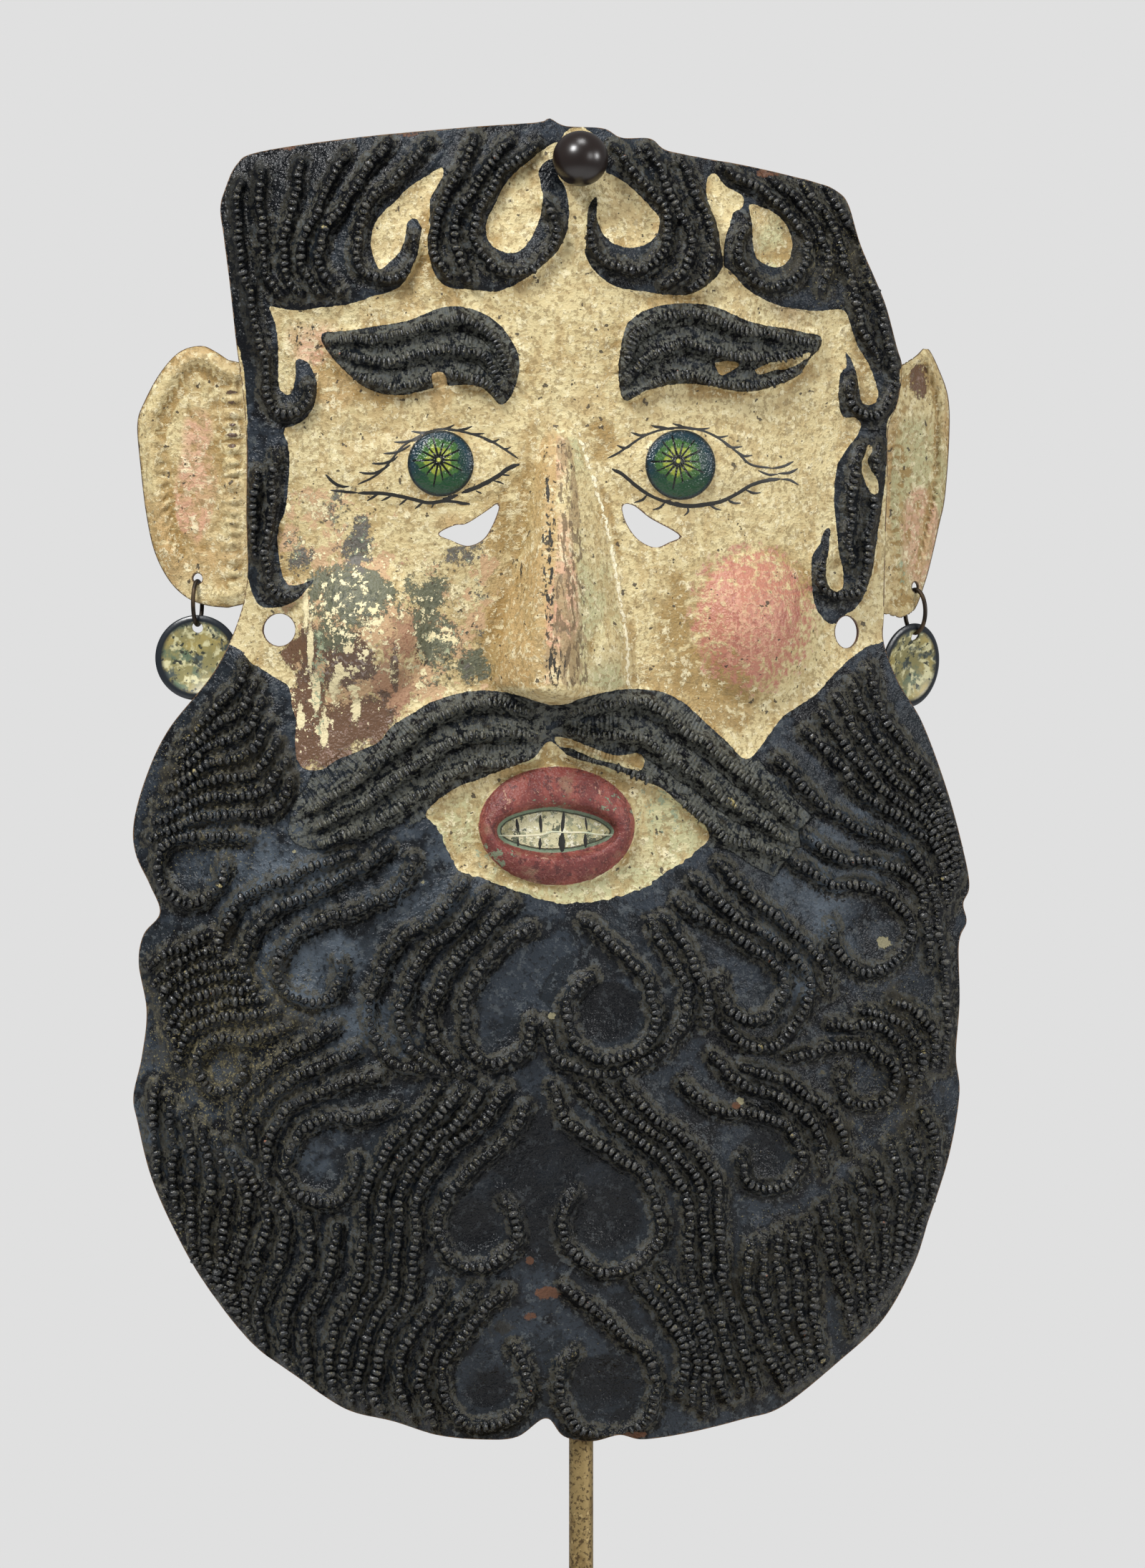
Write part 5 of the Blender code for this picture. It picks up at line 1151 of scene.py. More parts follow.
def solidWall(piece, thickness, offset):
    wall = piece.modifiers.new("wall", "SOLIDIFY")
    wall.thickness = thickness
    wall.offset = offset


def snappedGrid(field, xs, ys, share):
    # Grid corners, with those less than that share of a step from the edge on it, and which are sheet.
    stepX, stepY = xs[1] - xs[0], ys[1] - ys[0]
    reach = share * min(stepX, stepY)
    downField, acrossField = np.gradient(field, stepY, stepX)
    size = np.maximum(np.hypot(downField, acrossField), 1e-6)
    near = np.abs(field) < reach
    x, y = (v.copy() for v in np.meshgrid(xs, ys))
    x[near] -= (field * acrossField / size)[near]
    y[near] -= (field * downField / size)[near]
    return x, y, field > -reach


def gridFaces(kept):
    # Faces between the kept corners: whole squares, and triangles where one corner is missing.
    rows, columns = kept.shape
    index = np.arange(rows * columns).reshape(rows, columns)
    corners = [index[:-1, :-1], index[1:, :-1], index[1:, 1:], index[:-1, 1:]]
    present = [kept.ravel()[c] for c in corners]
    total = sum(p.astype(int) for p in present)
    whole = total == 4
    squares = np.stack([c[whole] for c in corners], axis=1)
    triangles = []
    for missing in range(4):
        chosen = (total == 3) & ~present[missing]
        triangles.append(np.stack([c[chosen] for k, c in enumerate(corners) if k != missing], axis=1))
    return squares, np.concatenate(triangles)


def usedCorners(quads, tris):
    # The corners that the faces use, and the faces with only those corners counted.
    used = np.unique(np.concatenate([quads.ravel(), tris.ravel()]))
    order = np.zeros(used[-1] + 1, int)
    order[used] = np.arange(len(used))
    return used, [*order[quads].tolist(), *order[tris].tolist()]


def surfaceNormals(depth):
    down, across = np.gradient(depth, drawing["gridStep"] * unit)
    normals = np.stack([-across, -np.ones_like(depth), down], axis=-1)
    return normals / np.linalg.norm(normals, axis=-1, keepdims=True)


skinX, skinY, onSheet = snappedGrid(sheetField, gridX, gridY, 0.55)
frontNormals = surfaceNormals(frontDepth)
squares, triangles = gridFaces(onSheet)
frontX, frontZ = placeAt(skinX, skinY)
frontPoints = np.stack([frontX, -gridValue(frontDepth, skinX, skinY), frontZ], axis=-1).reshape(-1, 3)


def frontPiece(name, top, bottom):
    # The part of the sheet's front between two heights of the drawing, with its paint.
    rowOf = np.arange(onSheet.size).reshape(onSheet.shape)[:, 0]
    low, high = (np.searchsorted(gridY, v) for v in (top, bottom))
    first, last = rowOf[low], rowOf[min(high, len(rowOf) - 1)]
    faces = [f[(f.min(axis=1) >= first) & (f.min(axis=1) < last)] for f in (squares, triangles)]
    used, faces = usedCorners(*faces)
    piece = meshPiece(name, frontPoints[used], faces)
    fields = {key: field.ravel()[used] for key, field in paintFields.items()}
    setPaint(piece.data, {**fields, "eyePlace": eyePlace.reshape(-1, 3)[used]})
    piece.data.normals_split_custom_set_from_vertices(frontNormals.reshape(-1, 3)[used].tolist())
    finishPiece(piece, paint, "mask_sheet")


# Bands of the one sheet, each small enough for its STL file.
sheetBands = {"maskHair": (0, 560), "maskFace": (560, 960), "maskMouth": (960, 1260),
              "maskBeard": (1260, 1600), "maskChin": (1600, 2100)}
for name, (top, bottom) in sheetBands.items():
    frontPiece(name, top, bottom)


def boundaryLoops(faces):
    # The closed loops of corners round the sheet's edge and holes, in order.
    edges = np.concatenate([np.stack([f[:, k], np.roll(f, -1, axis=1)[:, k]], axis=1)
                            for f in faces for k in range(f.shape[1])])
    size = int(edges.max()) + 1
    codes = edges[:, 0] * size + edges[:, 1]
    lone = edges[~np.isin(codes, edges[:, 1] * size + edges[:, 0])]
    follows = {int(a): int(b) for a, b in lone}
    loops = []
    while follows:
        start, here = next(iter(follows.items()))
        del follows[start]
        loop = [start]
        while here in follows:
            loop.append(here)
            here = follows.pop(here)
        loops.append(loop)
    return [loop for loop in loops if len(loop) > 8]


def backOfSheet():
    # The sheet's hollow back and its cut edge, on coarser faces, one thickness behind the front.
    loops = boundaryLoops((squares, triangles))
    edgeCorners = [k for loop in loops for k in loop]
    points = [(skinX.ravel()[k], skinY.ravel()[k]) for k in edgeCorners]
    starts = np.cumsum([0] + [len(loop) for loop in loops])
    edges = [(s + k, s + (k + 1) % len(loop)) for s, loop in zip(starts, loops) for k in range(len(loop))]
    coarse = 8.4
    xs, ys = np.arange(gridX[0], gridX[-1], coarse), np.arange(gridY[0], gridY[-1], coarse)
    x, y = np.meshgrid(xs, ys)
    good = gridValue(sheetField, x, y) > 0.55 * coarse
    points += list(zip(x[good], y[good]))
    flat, _, faces, *_ = delaunay_2d_cdt([Vector(p) for p in points], edges, [], 0, 1e-5)
    flat = np.array([tuple(p) for p in flat])
    middles = np.array([flat[list(f)].mean(axis=0) for f in faces])
    inner = gridValue(sheetField, middles[:, 0], middles[:, 1]) > -0.2
    across, up = placeAt(flat[:, 0], flat[:, 1])
    base = np.stack([across, -gridValue(softDepth, flat[:, 0], flat[:, 1]), up], axis=1)
    soft = surfaceNormals(softDepth)
    normals = np.stack([gridValue(soft[..., k], flat[:, 0], flat[:, 1]) for k in range(3)], axis=1)
    normals /= np.linalg.norm(normals, axis=1, keepdims=True)
    behind = base - normals * sheet["thickness"]
    corners = np.concatenate([behind, frontPoints[edgeCorners]])
    turnedFaces = []
    for face in (list(f) for f, keep in zip(faces, inner) if keep):
        a, b, c = (behind[k] for k in face[:3])
        turnedFaces.append(face if np.cross(b - a, c - a)[1] > 0 else face[::-1])
    count = len(flat)
    rim = [(s + (k + 1) % len(loop), s + k, count + s + k, count + s + (k + 1) % len(loop))
           for s, loop in zip(starts, loops) for k in range(len(loop))]
    return meshPiece("maskBack", corners, turnedFaces + rim)


finishPiece(backOfSheet(), backCopper, "mask_sheet")


def beadTree():
    # Geometry Nodes: a row of small chased beads along each lock's crest.
    tree = bpy.data.node_groups.new("beadsAlongLocks", "GeometryNodeTree")
    tree.interface.new_socket("Paths", in_out="INPUT", socket_type="NodeSocketGeometry")
    for name in ("Beads Pitch", "Bead Length", "Bead Width", "Bead Height"):
        tree.interface.new_socket(name, in_out="INPUT", socket_type="NodeSocketFloat")
    tree.interface.new_socket("Paint", in_out="INPUT", socket_type="NodeSocketMaterial")
    tree.interface.new_socket("Beads", in_out="OUTPUT", socket_type="NodeSocketGeometry")
    given = addNode(tree, "NodeGroupInput").outputs
    points = addNode(tree, "GeometryNodeResampleCurve", {"mode": "LENGTH"}, {
        "Curve": given["Paths"], "Length": given["Beads Pitch"]})
    tangent = addNode(tree, "GeometryNodeInputTangent")
    along = addNode(tree, "FunctionNodeAlignRotationToVector", {"axis": "X"},
                    {"Vector": tangent.outputs[0]})
    outward = addNode(tree, "FunctionNodeAlignRotationToVector", {"axis": "Z", "pivot_axis": "X"}, {
        "Rotation": along.outputs[0], "Vector": (0.0, -1.0, 0.25)})
    uneven = addNode(tree, "FunctionNodeRandomValue", {"data_type": "FLOAT"}, {2: 0.6, 3: 1.2, "Seed": 4})
    radius = addNode(tree, "GeometryNodeInputRadius")
    share = addNode(tree, "ShaderNodeMath", {"operation": "MULTIPLY"}, {
        0: uneven.outputs[1], 1: radius.outputs[0]})
    sizes = addNode(tree, "ShaderNodeCombineXYZ", {}, {
        0: given["Bead Length"], 1: given["Bead Width"], 2: given["Bead Height"]})
    scaled = addNode(tree, "ShaderNodeVectorMath", {"operation": "SCALE"}, {
        0: sizes.outputs[0], "Scale": share.outputs[0]})
    bead = addNode(tree, "GeometryNodeMeshUVSphere", {}, {"Segments": 8, "Rings": 4, "Radius": 1.0})
    corner = addNode(tree, "GeometryNodeInputPosition")
    high = addNode(tree, "ShaderNodeSeparateXYZ", {}, {0: corner.outputs[0]})
    marked = addNode(tree, "GeometryNodeStoreNamedAttribute", {"data_type": "FLOAT", "domain": "POINT"}, {
        "Geometry": bead.outputs[0], "Name": "beadTop", "Value": high.outputs[2]})
    placed = addNode(tree, "GeometryNodeInstanceOnPoints", {}, {
        "Points": points.outputs[0], "Instance": marked.outputs[0], "Rotation": outward.outputs[0],
        "Scale": scaled.outputs[0]})
    real = addNode(tree, "GeometryNodeRealizeInstances", {}, {0: placed.outputs[0]})
    smooth = addNode(tree, "GeometryNodeSetShadeSmooth", {}, {"Geometry": real.outputs[0]})
    painted = addNode(tree, "GeometryNodeSetMaterial", {}, {
        "Geometry": smooth.outputs[0], "Material": given["Paint"]})
    addNode(tree, "NodeGroupOutput", {}, {0: painted.outputs[0]})
    return tree


def beadCurve(name, paths, shift):
    # The lines that the beads follow, a little to the lower side of each crest.
    curve = bpy.data.curves.new(name, "CURVE")
    curve.dimensions = "3D"
    for path in paths:
        path = spacedPath(path, 6)
        step, side = pathSides(path)
        lower = side * sideDown(step)[:, None]
        x, y = (path + lower * shift / unit).T
        across, up = placeAt(x, y)
        depth = gridValue(frontDepth, x, y) + 0.4 * mm
        inside = (gridValue(sheetField, x, y) > 6) & (gridValue(blackField, x, y) > 3)
        line = curve.splines.new("POLY")
        line.points.add(len(x) - 1)
        line.points.foreach_set("co", np.stack([across, -depth, up, np.ones(len(x))], axis=1).ravel())
        line.points.foreach_set("radius", np.clip(0.55 + fromEnds(path) / 8, 0, 1) * inside)
    return curve


def beadRows(name, paths, pitch, length, width, height, shift, grey):
    # Beads along the locks' crests, in millimetres. They are chased in the sheet and share its paint.
    holder = placedObject(name + "Path", beadCurve(name, paths, shift * mm))
    tree = bpy.data.node_groups.get("beadsAlongLocks") or beadTree()
    modifier = holder.modifiers.new("beads", "NODES")
    modifier.node_group = tree
    values = {"Beads Pitch": pitch * mm, "Bead Length": length * mm, "Bead Width": width * mm,
              "Bead Height": height * mm, "Paint": paint}
    for item in tree.interface.items_tree:
        if item.in_out == "INPUT" and item.name in values:
            modifier[item.identifier] = values[item.name]
    piece = meshedPiece(name, holder)
    mesh = piece.data
    corners = np.empty(len(mesh.vertices) * 3)
    mesh.vertices.foreach_get("co", corners)
    x, y = drawnAt(corners[::3], corners[2::3])
    tops = np.empty(len(mesh.vertices))
    mesh.attributes["beadTop"].data.foreach_get("value", tops)
    # The beads' lower parts get painted shadow, and their tops a painted highlight.
    setPaint(mesh, {
        "blackPaint": 9 + 0 * x, "sheetEdge": 9 + 0 * x, "lockRise": np.clip(tops + .5, 0, 1),
        "under": np.clip(.9 - 2.2 * tops, 0, 1), "dust": .6 * gridValue(paintFields["dust"], x, y),
        "beadTop": np.clip(tops, 0, 1) * (1 - .6 * grey), "crest": np.clip(tops + .3, 0, 1) * grey})
    finishPiece(piece, paint, "mask_sheet")


# Each style's beads: pitch, length, width, height, shift to the lower side, and how grey they are worn.
beadSizes = {"beard": (2.7, 1.2, 2.1, 1.6, 1.3, 0), "hair": (2.6, 1.15, 1.9, 1.5, 1.1, 0),
             "brow": (1.9, .75, 2.2, .7, 1.1, .5), "moustache": (2.0, .75, 2.0, .7, 1.4, .8)}
pathsOf = {style: [path for own, path in lockPaths if own == style] for style in styleNames}
for name, left in (("beardBeadsLeft", True), ("beardBeadsRight", False)):
    paths = [path for path in pathsOf["beard"] if (path[:, 0].mean() < drawing["middleX"]) == left]
    beadRows(name, paths, *beadSizes["beard"])
for style in ("hair", "brow", "moustache"):
    beadRows(style + "Beads", pathsOf[style], *beadSizes[style])

# Painted strokes: lashes and lid lines, each a path and its half width in drawing units.
lidStrokes = [
    ([(724, 641), (700, 625), (680, 614), (660, 607), (640, 602), (620, 600), (600, 604), (580, 613),
      (562, 625), (548, 642), (536, 656), (520, 668), (500, 677)], 1.3),
    ([(726, 649), (710, 655), (695, 666), (670, 680), (645, 689)], 2.6),
    ([(640, 692), (620, 700), (600, 703), (585, 700), (560, 694), (535, 690), (500, 689)], 2.2),
    ([(575, 603), (590, 605), (602, 604)], 1.8), ([(551, 618), (566, 618), (584, 613), (592, 609)], 1.6),
    ([(536, 634), (552, 633), (566, 627), (574, 622)], 1.6),
    ([(520, 648), (535, 648), (550, 643), (556, 638)], 1.6),
    ([(502, 660), (515, 662), (528, 660), (545, 650)], 1.6),
    ([(455, 663), (466, 674), (478, 680), (488, 680)], 1.8), ([(612, 601), (625, 599), (635, 594)], 1.5),
    ([(638, 601), (650, 600), (660, 596)], 1.5), ([(652, 606), (666, 607), (677, 606)], 1.3),
    ([(676, 614), (688, 618), (698, 614)], 1.5), ([(698, 625), (706, 628), (714, 625)], 1.3),
    ([(462, 685), (480, 687), (500, 689)], 1.6), ([(700, 663), (712, 665)], 1.4),
    ([(690, 672), (698, 674), (704, 677)], 1.4), ([(665, 686), (673, 690)], 1.6),
    ([(600, 702), (630, 701), (657, 705)], 1.8), ([(608, 701), (603, 710)], 1.6),
    ([(592, 702), (580, 711)], 1.6), ([(570, 697), (558, 706)], 1.5), ([(548, 693), (533, 700)], 1.5),
    ([(530, 690), (513, 700)], 1.5),
    ([(849, 640), (862, 634), (880, 622), (900, 609), (925, 600), (955, 597), (985, 602), (1010, 615),
      (1032, 632), (1050, 648), (1080, 653)], 1.4),
    ([(855, 655), (870, 663), (888, 678), (910, 693), (935, 702), (960, 706), (985, 704), (1010, 699),
      (1032, 688), (1050, 677), (1072, 670), (1092, 668)], 2.2),
    ([(910, 594), (922, 597), (936, 598)], 1.6), ([(940, 591), (955, 596), (968, 597)], 1.5),
    ([(968, 598), (982, 599), (992, 597)], 1.4), ([(882, 604), (894, 608), (906, 606)], 1.6),
    ([(862, 622), (874, 626), (886, 618)], 1.6), ([(990, 604), (1004, 610), (1018, 608)], 1.4),
    ([(1010, 616), (1022, 624), (1038, 623)], 1.5), ([(1028, 628), (1040, 636), (1052, 635)], 1.5),
    ([(1080, 653), (1096, 650), (1110, 643)], 1.6), ([(1088, 660), (1104, 659), (1116, 653)], 1.6),
    ([(1092, 668), (1104, 669), (1117, 676)], 1.6), ([(1060, 656), (1075, 662), (1088, 661)], 1.4),
    ([(905, 690), (898, 698), (886, 702)], 1.5), ([(930, 701), (922, 709), (912, 712)], 1.5),
    ([(960, 706), (962, 714), (956, 720)], 1.4), ([(990, 703), (1000, 710), (1008, 712)], 1.4),
    ([(1015, 696), (1026, 702), (1036, 702)], 1.4), ([(1040, 682), (1054, 688), (1064, 687)], 1.4),
]
toothStrokes = [([(x, top), (x + lean, bottom)], width) for x, top, bottom, lean, width in (
    (722, 1144, 1163, 2, 2.0), (755, 1139, 1163, 1, 1.8), (788, 1134, 1163, -3, 2.0),
    (818, 1142, 1160, 2, 1.3), (724, 1172, 1182, 0, 1.8), (755, 1171, 1187, -1, 2.2),
    (786, 1164, 1190, -1, 3.6), (818, 1165, 1184, 0, 2.2))]
wireStroke = [([(697, 1167), (720, 1168), (757, 1166), (772, 1162), (790, 1163), (815, 1163), (835, 1166),
                (856, 1167)], 1.5)]


def strokeRibbons(name, strokes, material, height, weight):
    # Raised brush lines that follow the sheet, tapered at their ends.
    corners, faces = [], []
    sunk = 0.1 * mm
    for points, width in strokes:
        path = spacedPath(smoothPath(points, 3), 3)
        side = pathSides(path)[1]
        half = width * weight * np.clip(0.35 + fromEnds(path) / 4, 0, 1)[:, None]
        first = len(corners)
        for shift, lift in ((-1, -sunk), (0, height), (1, -sunk)):
            x, y = (path + side * half * shift).T
            across, up = placeAt(x, y)
            corners += np.stack([across, -gridValue(frontDepth, x, y) - lift, up], axis=1).tolist()
        count = len(path)
        for row in range(2):
            for k in range(count - 1):
                a = first + row * count + k
                faces.append((a, a + count, a + count + 1, a + 1))
    finishPiece(meshPiece(name, corners, faces), material, "mask_sheet")


strokeRibbons("lidLines", lidStrokes, inkPaint, 0.15 * mm, 2.0)
strokeRibbons("toothLines", toothStrokes, inkPaint, 0.12 * mm, 2.4)
strokeRibbons("toothWire", wireStroke, paleLine, 0.3 * mm, 1.0)


def earPiece(key):
    # A sheet ear with a crimped, raised rim, lapped behind the mask's sheet.
    ear = ears[key]
    side, jointX, inset, slope = ear["side"], ear["jointX"], ear["rimInset"], ear["slope"]
    lapX = jointX - side * earring["lap"] / unit
    path = [p for p in ear["outline"] if side * (p[0] - jointX) > 0]
    edge = spacedPath(smoothPath(path if side < 0 else path[::-1], 8), 4)
    loop = np.concatenate([edge, [(lapX, edge[-1][1] - 12), (lapX, edge[0][1] + 12)]])
    low, high = loop.min(axis=0) - 8, loop.max(axis=0) + 8
    step = drawing["gridStep"]
    xs = np.arange(low[0], high[0], step if side < 0 else 0.6 * step)
    ys = np.arange(low[1], high[1], step)
    field = shapeField(loop, xs, ys, 60)
    squash = 1 / math.hypot(1, slope)
    radius = earring["earHole"] / 2 / unit
    hole = shapeField(ovalPath(ear["hole"], (radius * squash, radius), 24), xs, ys, 12)
    x, y = np.meshgrid(xs, ys)
    within = np.where(side * (x - jointX) < 0, x, jointX)
    bentBack = slope * np.maximum(side * (x - jointX), 0) * unit
    depth = shellDepth(within, y) - earBehind - bentBack + depthShift
    beyond = np.clip(side * (x - jointX) / inset, 0, 1)
    far = np.hypot((x - ear["hole"][0]) / squash, y - ear["hole"][1])
    lobe = np.clip(far / (3 * radius) - 1, 0, 1)
    angle = np.arctan2(y - ys.mean(), (x - xs.mean()) * 2.2)
    crimps = 0.5 + 0.5 * np.cos(angle * 46 + randomField(x.shape, 12, 9))
    rim = np.clip(1 - np.abs(field - inset) / inset, 0, 1) ** 0.8
    inner = np.clip(1 - np.abs(field - 1.75 * inset) / (0.8 * inset), 0, 1)
    depth += (earring["rimHeight"] * rim - 1.0 * mm * inner * crimps) * beyond * lobe
    depth += randomField(x.shape, 5, 21) * 0.4 * mm * beyond * lobe
    # A row of crimps runs down beside the joint.
    row = np.exp(-((x - ear["crimp"][0]) / ear["crimp"][1]) ** 2)
    row *= np.clip((y - crimpRow["top"]) / crimpRow["fade"], 0, 1)
    row *= np.clip((crimpRow["bottom"] - y) / crimpRow["fade"], 0, 1)
    crimpTurn = 2 * np.pi * y / crimpRow["pitch"] + 2.5 * randomField(x.shape, 9, 14)
    depth += row * (1.2 + 0.9 * np.cos(crimpTurn)) * mm
    # Painted shade in the ear's dents and hollows.
    hollowShadeHere = np.clip((blurred(depth, 4) - depth) / (0.5 * mm), -1, 1) * beyond
    field = np.minimum(field, -hole)
    snapX, snapY, kept = snappedGrid(field, xs, ys, 0.5)
    used, faces = usedCorners(*gridFaces(kept))
    across, up = placeAt(snapX, snapY)
    corners = np.stack([across, -depth, up], axis=-1).reshape(-1, 3)
    piece = meshPiece("ear" + key.capitalize(), corners[used], faces)
    fields = {name: spotField(spots, x, y) for name, spots in finishSpots.items()}
    fields["tan"] = np.clip(1.1 - field / (2.2 * inset), 0, 1) * 0.5
    fields["hollowShade"] = hollowShadeHere
    fields["sheetEdge"] = np.clip(field, -3, 24) * unitMm
    if ear["dented"]:
        dents = row * np.clip(0.2 - np.cos(2 * np.pi * y / crimpRow["dentPitch"]), 0, 1)
        dents *= np.clip((crimpRow["dentBottom"] - y) / crimpRow["fade"], 0, 1)
        fields["core"] = np.maximum(fields["core"], dents)
    setPaint(piece.data, {name: values.ravel()[used] for name, values in fields.items()})
    solidWall(piece, earring["earThickness"], -1)
    finishPiece(piece, paint, "ear_" + key)


def roundWire(name, points, diameter, closed, sides):
    curve = bpy.data.curves.new(name, "CURVE")
    curve.dimensions = "3D"
    curve.bevel_depth = diameter / 2
    curve.bevel_resolution = sides
    curve.use_fill_caps = not closed
    line = curve.splines.new("POLY")
    line.points.add(len(points) - 1)
    for point, at in zip(line.points, points):
        point.co = (*at, 1)
    line.use_cyclic_u = closed
    piece = meshedPiece(name, placedObject(name + "Path", curve))
    piece.data.shade_smooth()
    return piece


def hoopPiece(key):
    # The hoop of bent wire through the lobe. It gives the place that its disc hangs from.
    ear = ears[key]
    holeX, holeY = ear["hole"]
    across, top = placeAt(holeX, holeY)
    bentBack = ear["slope"] * abs(holeX - ear["jointX"]) * unit
    earMiddle = math.hypot(1, ear["slope"]) * earring["earThickness"] / 2
    depth = shellDepth(ear["jointX"], holeY) - earBehind - bentBack - earMiddle + depthShift
    reach = (earring["hoopHeight"] - earring["wire"]) / 2
    slack = (earring["earHole"] - earring["wire"]) / 2 - touchGap
    middle = Vector((across, -depth, top - slack - reach))
    deep = (earring["hoopDepth"] - earring["wire"]) / 2
    turn = ear["side"] * math.atan(ear["slope"])
    forward = Vector((math.sin(turn), -math.cos(turn), 0))
    loop = [middle + forward * deep * math.cos(t) + Vector((0, 0, reach * math.sin(t)))
            for t in np.linspace(0, 2 * math.pi, 64, endpoint=False)]
    hoop = roundWire("earringHoop" + key.capitalize(), loop, earring["wire"], True, 4)
    finishPiece(hoop, wireMetal, "earring_hoop_" + key)
    hang = (earring["discHole"] - earring["wire"]) / 2 - touchGap
    return middle - Vector((0, 0, reach + hang))


def discPiece(key, hook):
    # The dished round disc, with its hole over the hoop.
    ear = ears[key]
    radius = earring["discDiameter"] / 2
    flat = radius - earring["discRim"]
    eyeUp = radius - earring["discHoleInset"]
    rings = [*np.linspace(0.9 * mm, flat, 22), *np.linspace(flat, radius, 9)[1:]]
    points = []
    for ring in rings:
        around = ovalPath((0, 0), (ring, ring), max(8, int(2 * math.pi * ring / (0.75 * mm))))
        points += [tuple(p) for p in around]
    holeRadius, holeSides = earring["discHole"] / 2, 24
    points = [p for p in points if math.dist(p, (0, eyeUp)) > holeRadius + 0.35 * mm]
    holeStart = len(points)
    points += [tuple(p) for p in ovalPath((0, eyeUp), (holeRadius, holeRadius), holeSides)] + [(0.0, 0.0)]
    edges = [(holeStart + k, holeStart + (k + 1) % holeSides) for k in range(holeSides)]
    flatPoints, _, faces, *_ = delaunay_2d_cdt([Vector(p) for p in points], edges, [], 0, 1e-8)
    lean, spin = ear["discLean"], ear["discTurn"]
    centre = hook + eyeUp * Vector((-math.sin(lean), 0, -math.cos(lean)))
    matrix = np.array(Matrix.Rotation(lean, 3, "Y")) @ np.array(Matrix.Rotation(spin, 3, "Z"))
    corners, shares = [], []
    for point in flatPoints:
        share = min(point.length / flat, 1.0)
        over = max(point.length - flat, 0) / earring["discRim"]
        dish = earring["discDish"] * (1 - share * share) - 0.55 * mm * math.sin(math.pi * over)
        corners.append(matrix @ np.array([point.x, dish, point.y]) + np.array(centre))
        shares.append(point.length / radius)
    kept = []
    for face in faces:
        cx = sum(flatPoints[k].x for k in face) / len(face)
        cy = sum(flatPoints[k].y for k in face) / len(face)
        if math.dist((cx, cy), (0, eyeUp)) > 0.97 * holeRadius:
            kept.append(list(face)[::-1])
    piece = meshPiece("earringDisc" + key.capitalize(), corners, kept)
    piece.data.attributes.new("discReach", "FLOAT", "POINT").data.foreach_set("value", shares)
    solidWall(piece, earring["discThickness"], 0)
    finishPiece(piece, discPaint, "earring_disc_" + key)


def turnedPiece(name, profile, sides, toPlace):
    # A round piece from (radius, height) points, its poles closed, with each corner put in place.
    corners, faces = [], []
    rows = []
    for radius, height in profile:
        if radius < 1e-6:
            rows.append([len(corners)] * sides)
            corners.append(toPlace(0.0, 0.0, height))
            continue
        rows.append(list(range(len(corners), len(corners) + sides)))
        for k in range(sides):
            t = 2 * math.pi * k / sides
            corners.append(toPlace(radius * math.cos(t), radius * math.sin(t), height))
    for a, b in zip(rows, rows[1:]):
        for k in range(sides):
            corner = [a[k], b[k], b[(k + 1) % sides], a[(k + 1) % sides]]
            faces.append(list(dict.fromkeys(corner)))
    return meshPiece(name, corners, [f for f in faces if len(f) > 2])


for key in ears:
    earPiece(key)
    discPiece(key, hoopPiece(key))
print("ears and earrings hung")

# The knob with its shank, the bent rod and the foot.
knobX, knobZ = placeAt(*knobHole)
sheetFront = float(shellDepth(*knobHole)) + depthShift
knobY = -(sheetFront + locks["bedHeight"] + touchGap + stand["knobDiameter"] / 2)
rodEnd = -(stand["rodBend"] + 1 * mm)
radius = stand["knobDiameter"] / 2
start = math.asin(stand["shankDiameter"] / stand["knobDiameter"])
shankLow = knobY + touchGap - rodEnd
profile = [(radius * math.sin(t), radius * math.cos(t)) for t in np.linspace(0, math.pi - start, 40)]
profile += [(stand["shankDiameter"] / 2, shankLow), (0.0, shankLow)]
ball = turnedPiece("knobBall", profile, 64, lambda x, y, h: (knobX + x, knobY - h, knobZ + y))
finishPiece(ball, knobPaint, "knob")

bend, bottom = stand["rodBend"], stand["footThickness"] + touchGap
rodPoints = [Vector((0, 0, z)) for z in np.linspace(bottom, knobZ - bend, 30)]
rodPoints += [Vector((0, -bend * (1 - math.cos(t)), knobZ - bend + bend * math.sin(t)))
              for t in np.linspace(0, math.pi / 2, 13)[1:]]
rodPoints.append(Vector((0, rodEnd, knobZ)))
rod = roundWire("standRod", rodPoints, stand["rodDiameter"], False, 8)
finishPiece(rod, speckledBrass, "stand_rod")

footRadius, bevel = stand["footDiameter"] / 2, stand["footBevel"]
thick = stand["footThickness"]
footProfile = [(0, thick)] + [(r, thick) for r in np.linspace(8 * mm, footRadius - bevel, 12)]
footProfile += [(footRadius - bevel * (1 - math.sin(t)), thick - bevel * (1 - math.cos(t)))
                for t in np.linspace(0, math.pi / 2, 6)[1:]]
footProfile += [(footRadius, stand["footEase"]), (footRadius - stand["footEase"], 0), (0, 0)]
foot = turnedPiece("standFoot", footProfile, 128, lambda x, y, h: (x, y, h))
finishPiece(foot, speckledBrass, "stand_foot")
print("stand made")

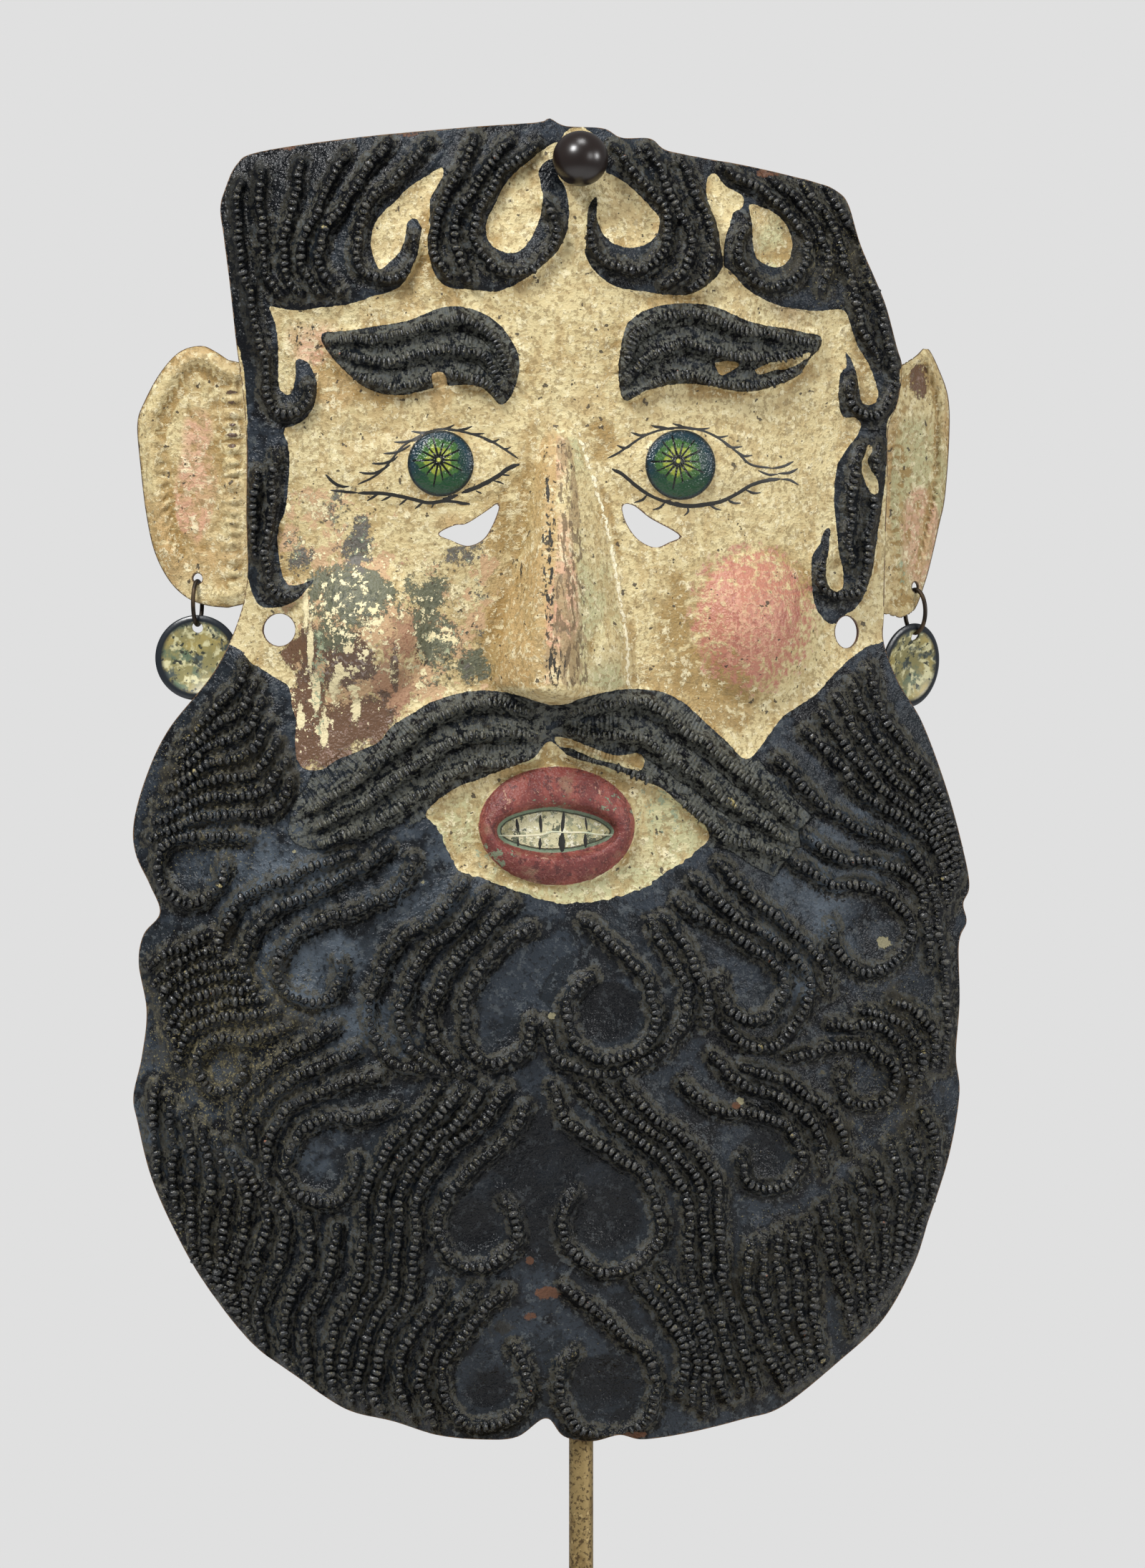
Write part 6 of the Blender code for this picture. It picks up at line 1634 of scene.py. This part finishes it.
# Floor, lights and camera.
studio = {"backdrop": "#E0E0E0", "floorColour": "#E8E8E8", "ambient": 0.38, "floorRadius": 1.25,
          "fadeFrom": 0.35, "cameraDistance": 8.0, "frameHeight": 580.6 * mm, "sensor": 36.0,
          "lookAt": (-3.2 * mm, -35.0 * mm, 339.2 * mm)}
lamps = {  # place, size, power and what it points at
    "keyLight": ((-1.2, -1.7, 2.3), 0.7, 88, (0, 0, 0.33)),
    "fillLight": ((1.8, -2.0, 1.0), 0.9, 14, (0, 0, 0.33)),
    "sideLight": ((2.2, -0.7, 0.9), 0.5, 22, (0.1, 0, 0.4)),
    "topLight": ((0.1, -0.5, 2.2), 0.6, 14, (0, 0, 0.4)),
}
floorMesh = bpy.data.meshes.new("studioFloor")
floorEdge = ovalPath((0, 0), (studio["floorRadius"], studio["floorRadius"]), 96)
floorMesh.from_pydata([(x, y, -0.2 * mm) for x, y in floorEdge.tolist()], [], [list(range(len(floorEdge)))])
floor = placedObject("studioFloor", floorMesh)
# Matt paper: pale and even, and it fades out into the backdrop.
floorPaper, floorTree, floorShader = newMaterial("palePaperFloor")
floorPlace = addNode(floorTree, "ShaderNodeTexCoord").outputs["Object"]
far = addNode(floorTree, "ShaderNodeVectorMath", {"operation": "LENGTH"}, {0: floorPlace}).outputs["Value"]
fade = addNode(floorTree, "ShaderNodeMapRange", {"interpolation_type": "SMOOTHSTEP"}, {
    "Value": far, "From Min": studio["fadeFrom"], "From Max": studio["floorRadius"],
    "To Min": 1.0, "To Max": 0.0})
floorTree.links.new(fade.outputs[0], floorShader.inputs["Alpha"])
floorShader.inputs["Base Color"].default_value = toLinear(studio["floorColour"])
floorShader.inputs["Roughness"].default_value = 0.8
floorMesh.materials.append(floorPaper)

world = bpy.data.worlds.new("paleStudio")
bpy.context.scene.world = world
world.use_nodes = True
worldBack = world.node_tree.nodes["Background"]
worldBack.inputs["Color"].default_value = toLinear(studio["backdrop"])
seen = addNode(world.node_tree, "ShaderNodeLightPath").outputs["Is Camera Ray"]
strength = addNode(world.node_tree, "ShaderNodeMapRange", {}, {
    "Value": seen, "To Min": studio["ambient"], "To Max": 1.0}).outputs[0]
world.node_tree.links.new(strength, worldBack.inputs["Strength"])

for name, (at, size, power, target) in lamps.items():
    lamp = bpy.data.lights.new(name, "AREA")
    lamp.size = size
    lamp.energy = power
    lampObject = placedObject(name, lamp)
    lampObject.location = at
    lampObject.rotation_euler = (Vector(target) - Vector(at)).to_track_quat("-Z", "Y").to_euler()

camera = bpy.data.cameras.new("photoCamera")
camera.sensor_fit = "VERTICAL"
camera.sensor_height = studio["sensor"]
camera.lens = studio["sensor"] * studio["cameraDistance"] / studio["frameHeight"]
camera.clip_end = 50.0
cameraObject = placedObject("photoCamera", camera)
cameraObject.location = Vector(studio["lookAt"]) - Vector((0, studio["cameraDistance"], 0))
cameraObject.rotation_euler = (math.pi / 2, 0, 0)
bpy.context.scene.camera = cameraObject
bpy.context.scene.view_settings.view_transform = "Standard"
